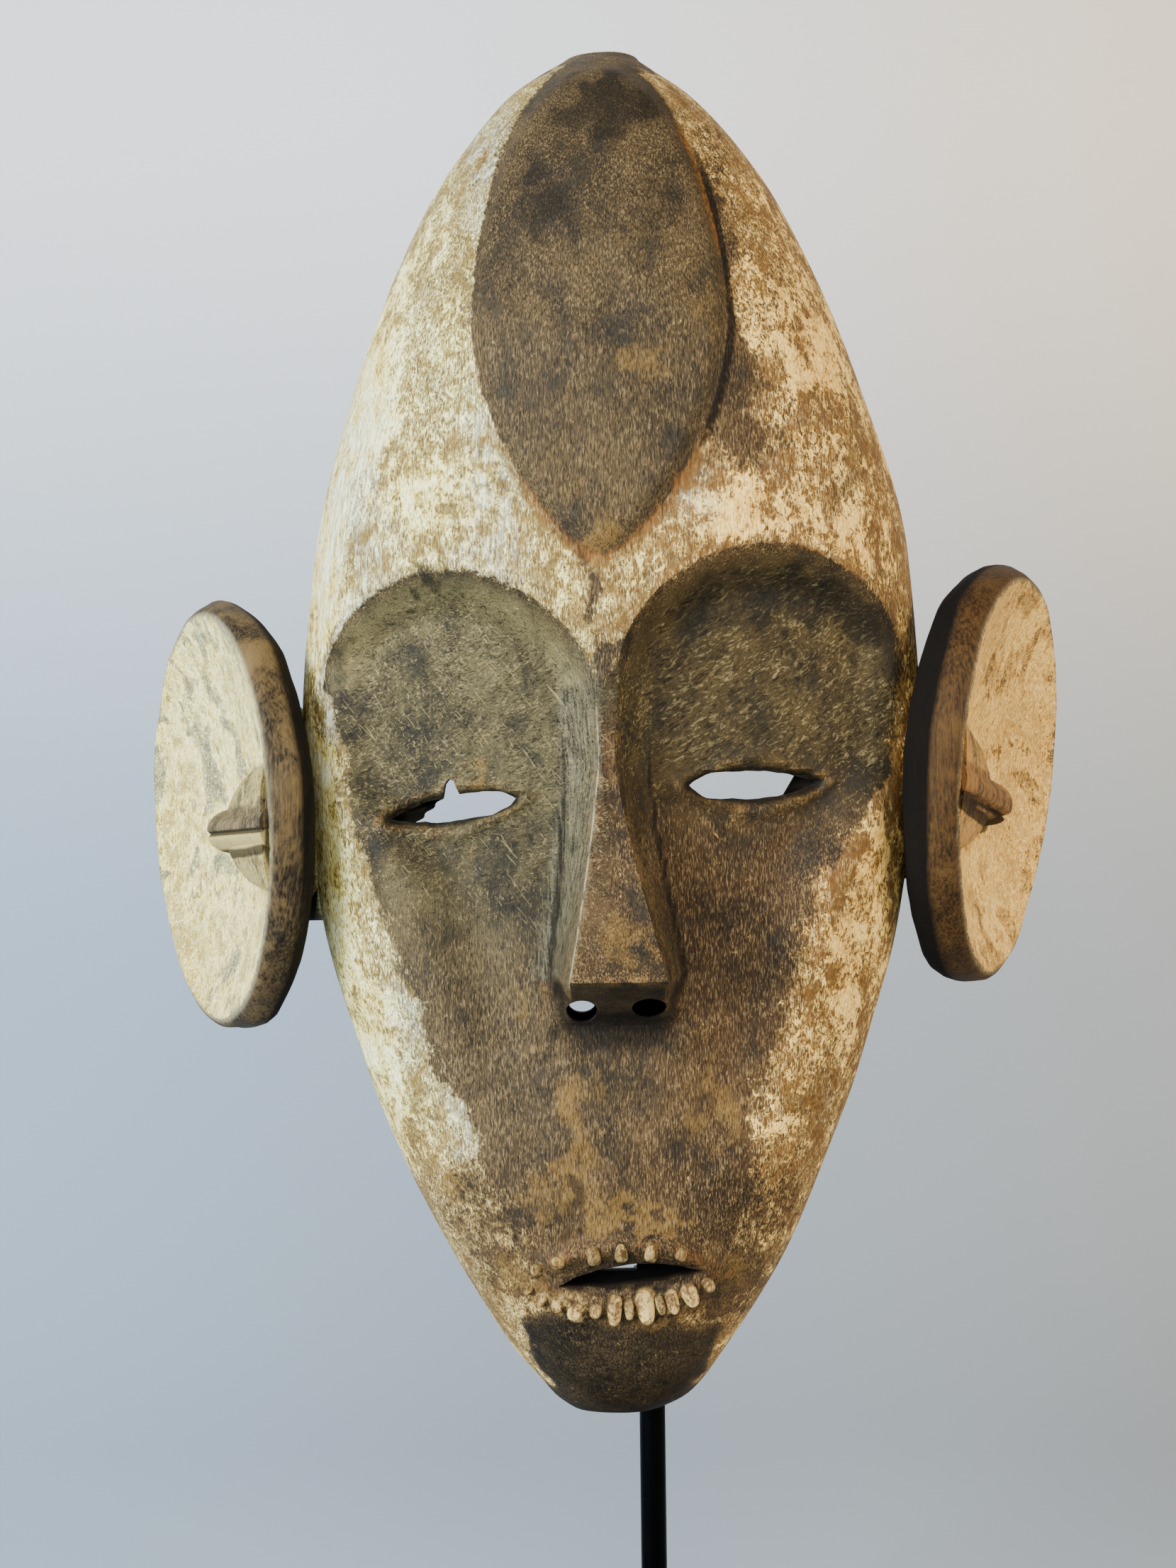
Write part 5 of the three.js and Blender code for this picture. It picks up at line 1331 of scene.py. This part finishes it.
backdrop = sweep(4.0, -3.0, 1.1, 0.8, 3.0)
paper = Recipe("pale paper", Roughness=0.85, Specular_IOR_Level=0.2)
fibre = paper.noise(paper.along(), 5, 3, 0.6)
across, above_floor = (
    paper.node("ShaderNodeSeparateXYZ", {}, {0: paper.node("ShaderNodeTexCoord", out=3)}, out=k) for k in (0, 2)
)
# Painted light on the paper: darker and bluer low on the left, warmer high on the right and brighter towards the top.
low = paper.blend(across.step(-0.6, 0.6), paint(174, 194, 216), paint(180, 180, 178))
high = paper.blend(across.step(-0.2, 0.6), paint(244, 246, 249), paint(248, 232, 213))
painted_light_tint = paper.blend(above_floor.step(0.12, 0.85), low, high)
paper.finish(paper.blend(fibre * 0.04, painted_light_tint, paint(120, 120, 120)), None, [(fibre, 0.05, 0.3)])
backdrop.data.materials.append(paper.material)
print("sweep", len(backdrop.data.polygons), "faces")

# %% [markdown]
# The light is that of a showroom: a large cool window high on the left, a weaker warm one on the right, and
# a little from above and in front, so that the hollows stay dark but open.

# %% Lights
def window(name, place, aim, size, power, colour):
    """A square area light at a place in metres, turned towards a point."""
    light = bpy.data.lights.new(name, "AREA")
    light.size, light.energy, light.color = size, power, colour
    piece = bpy.data.objects.new(name, light)
    bpy.context.scene.collection.objects.link(piece)
    way = (np.array(place) - np.array(aim)).astype(float)
    way /= np.linalg.norm(way)
    side = np.cross([0, 0, 1], way)
    side /= np.linalg.norm(side)
    look = Matrix(np.column_stack([side, np.cross(way, side), way]).tolist())
    piece.matrix_world = Matrix.Translation(place) @ look.to_4x4()
    return piece


AIM = (-0.01, -0.02, 0.3)
window("cool window", (-1.35, -1.12, 0.7), AIM, 1.0, 88, (0.92, 0.97, 0.98))
window("warm window", (1.45, -0.8, 0.6), AIM, 0.6, 30, (1.0, 0.9, 0.72))
window("front light", (-0.1, -1.35, 1.0), AIM, 1.0, 15, (1.0, 0.97, 0.92))
world = bpy.data.worlds.new("room")
bpy.context.scene.world = world
world.use_nodes = True
world.node_tree.nodes["Background"].inputs[0].default_value = (0.8, 0.85, 0.92, 1)
world.node_tree.nodes["Background"].inputs[1].default_value = 0.26

# %% [markdown]
# The photograph was taken level with the eyes from about 70 cm, a little to the left and turned by less
# than a degree. The lens follows from the picture's height of 2212 pixels.

# %% Camera
lens = bpy.data.cameras.new("camera")
PICTURE_HEIGHT, FOCAL_PIXELS, SENSOR = 2212, 3323, 36
lens.sensor_fit, lens.sensor_height, lens.lens = "VERTICAL", SENSOR, FOCAL_PIXELS / PICTURE_HEIGHT * SENSOR
camera = bpy.data.objects.new("camera", lens)
bpy.context.scene.collection.objects.link(camera)
stand_at = Matrix.Translation((-0.01763, -0.7046, 0.284))
roll_by = Matrix.Rotation(radians(0.7), 4, "Y")
camera.matrix_world = stand_at @ roll_by @ Matrix.Rotation(radians(90), 4, "X")
lens.clip_start = 0.01
bpy.context.scene.camera = camera
print("lens", round(lens.lens, 2), "mm")
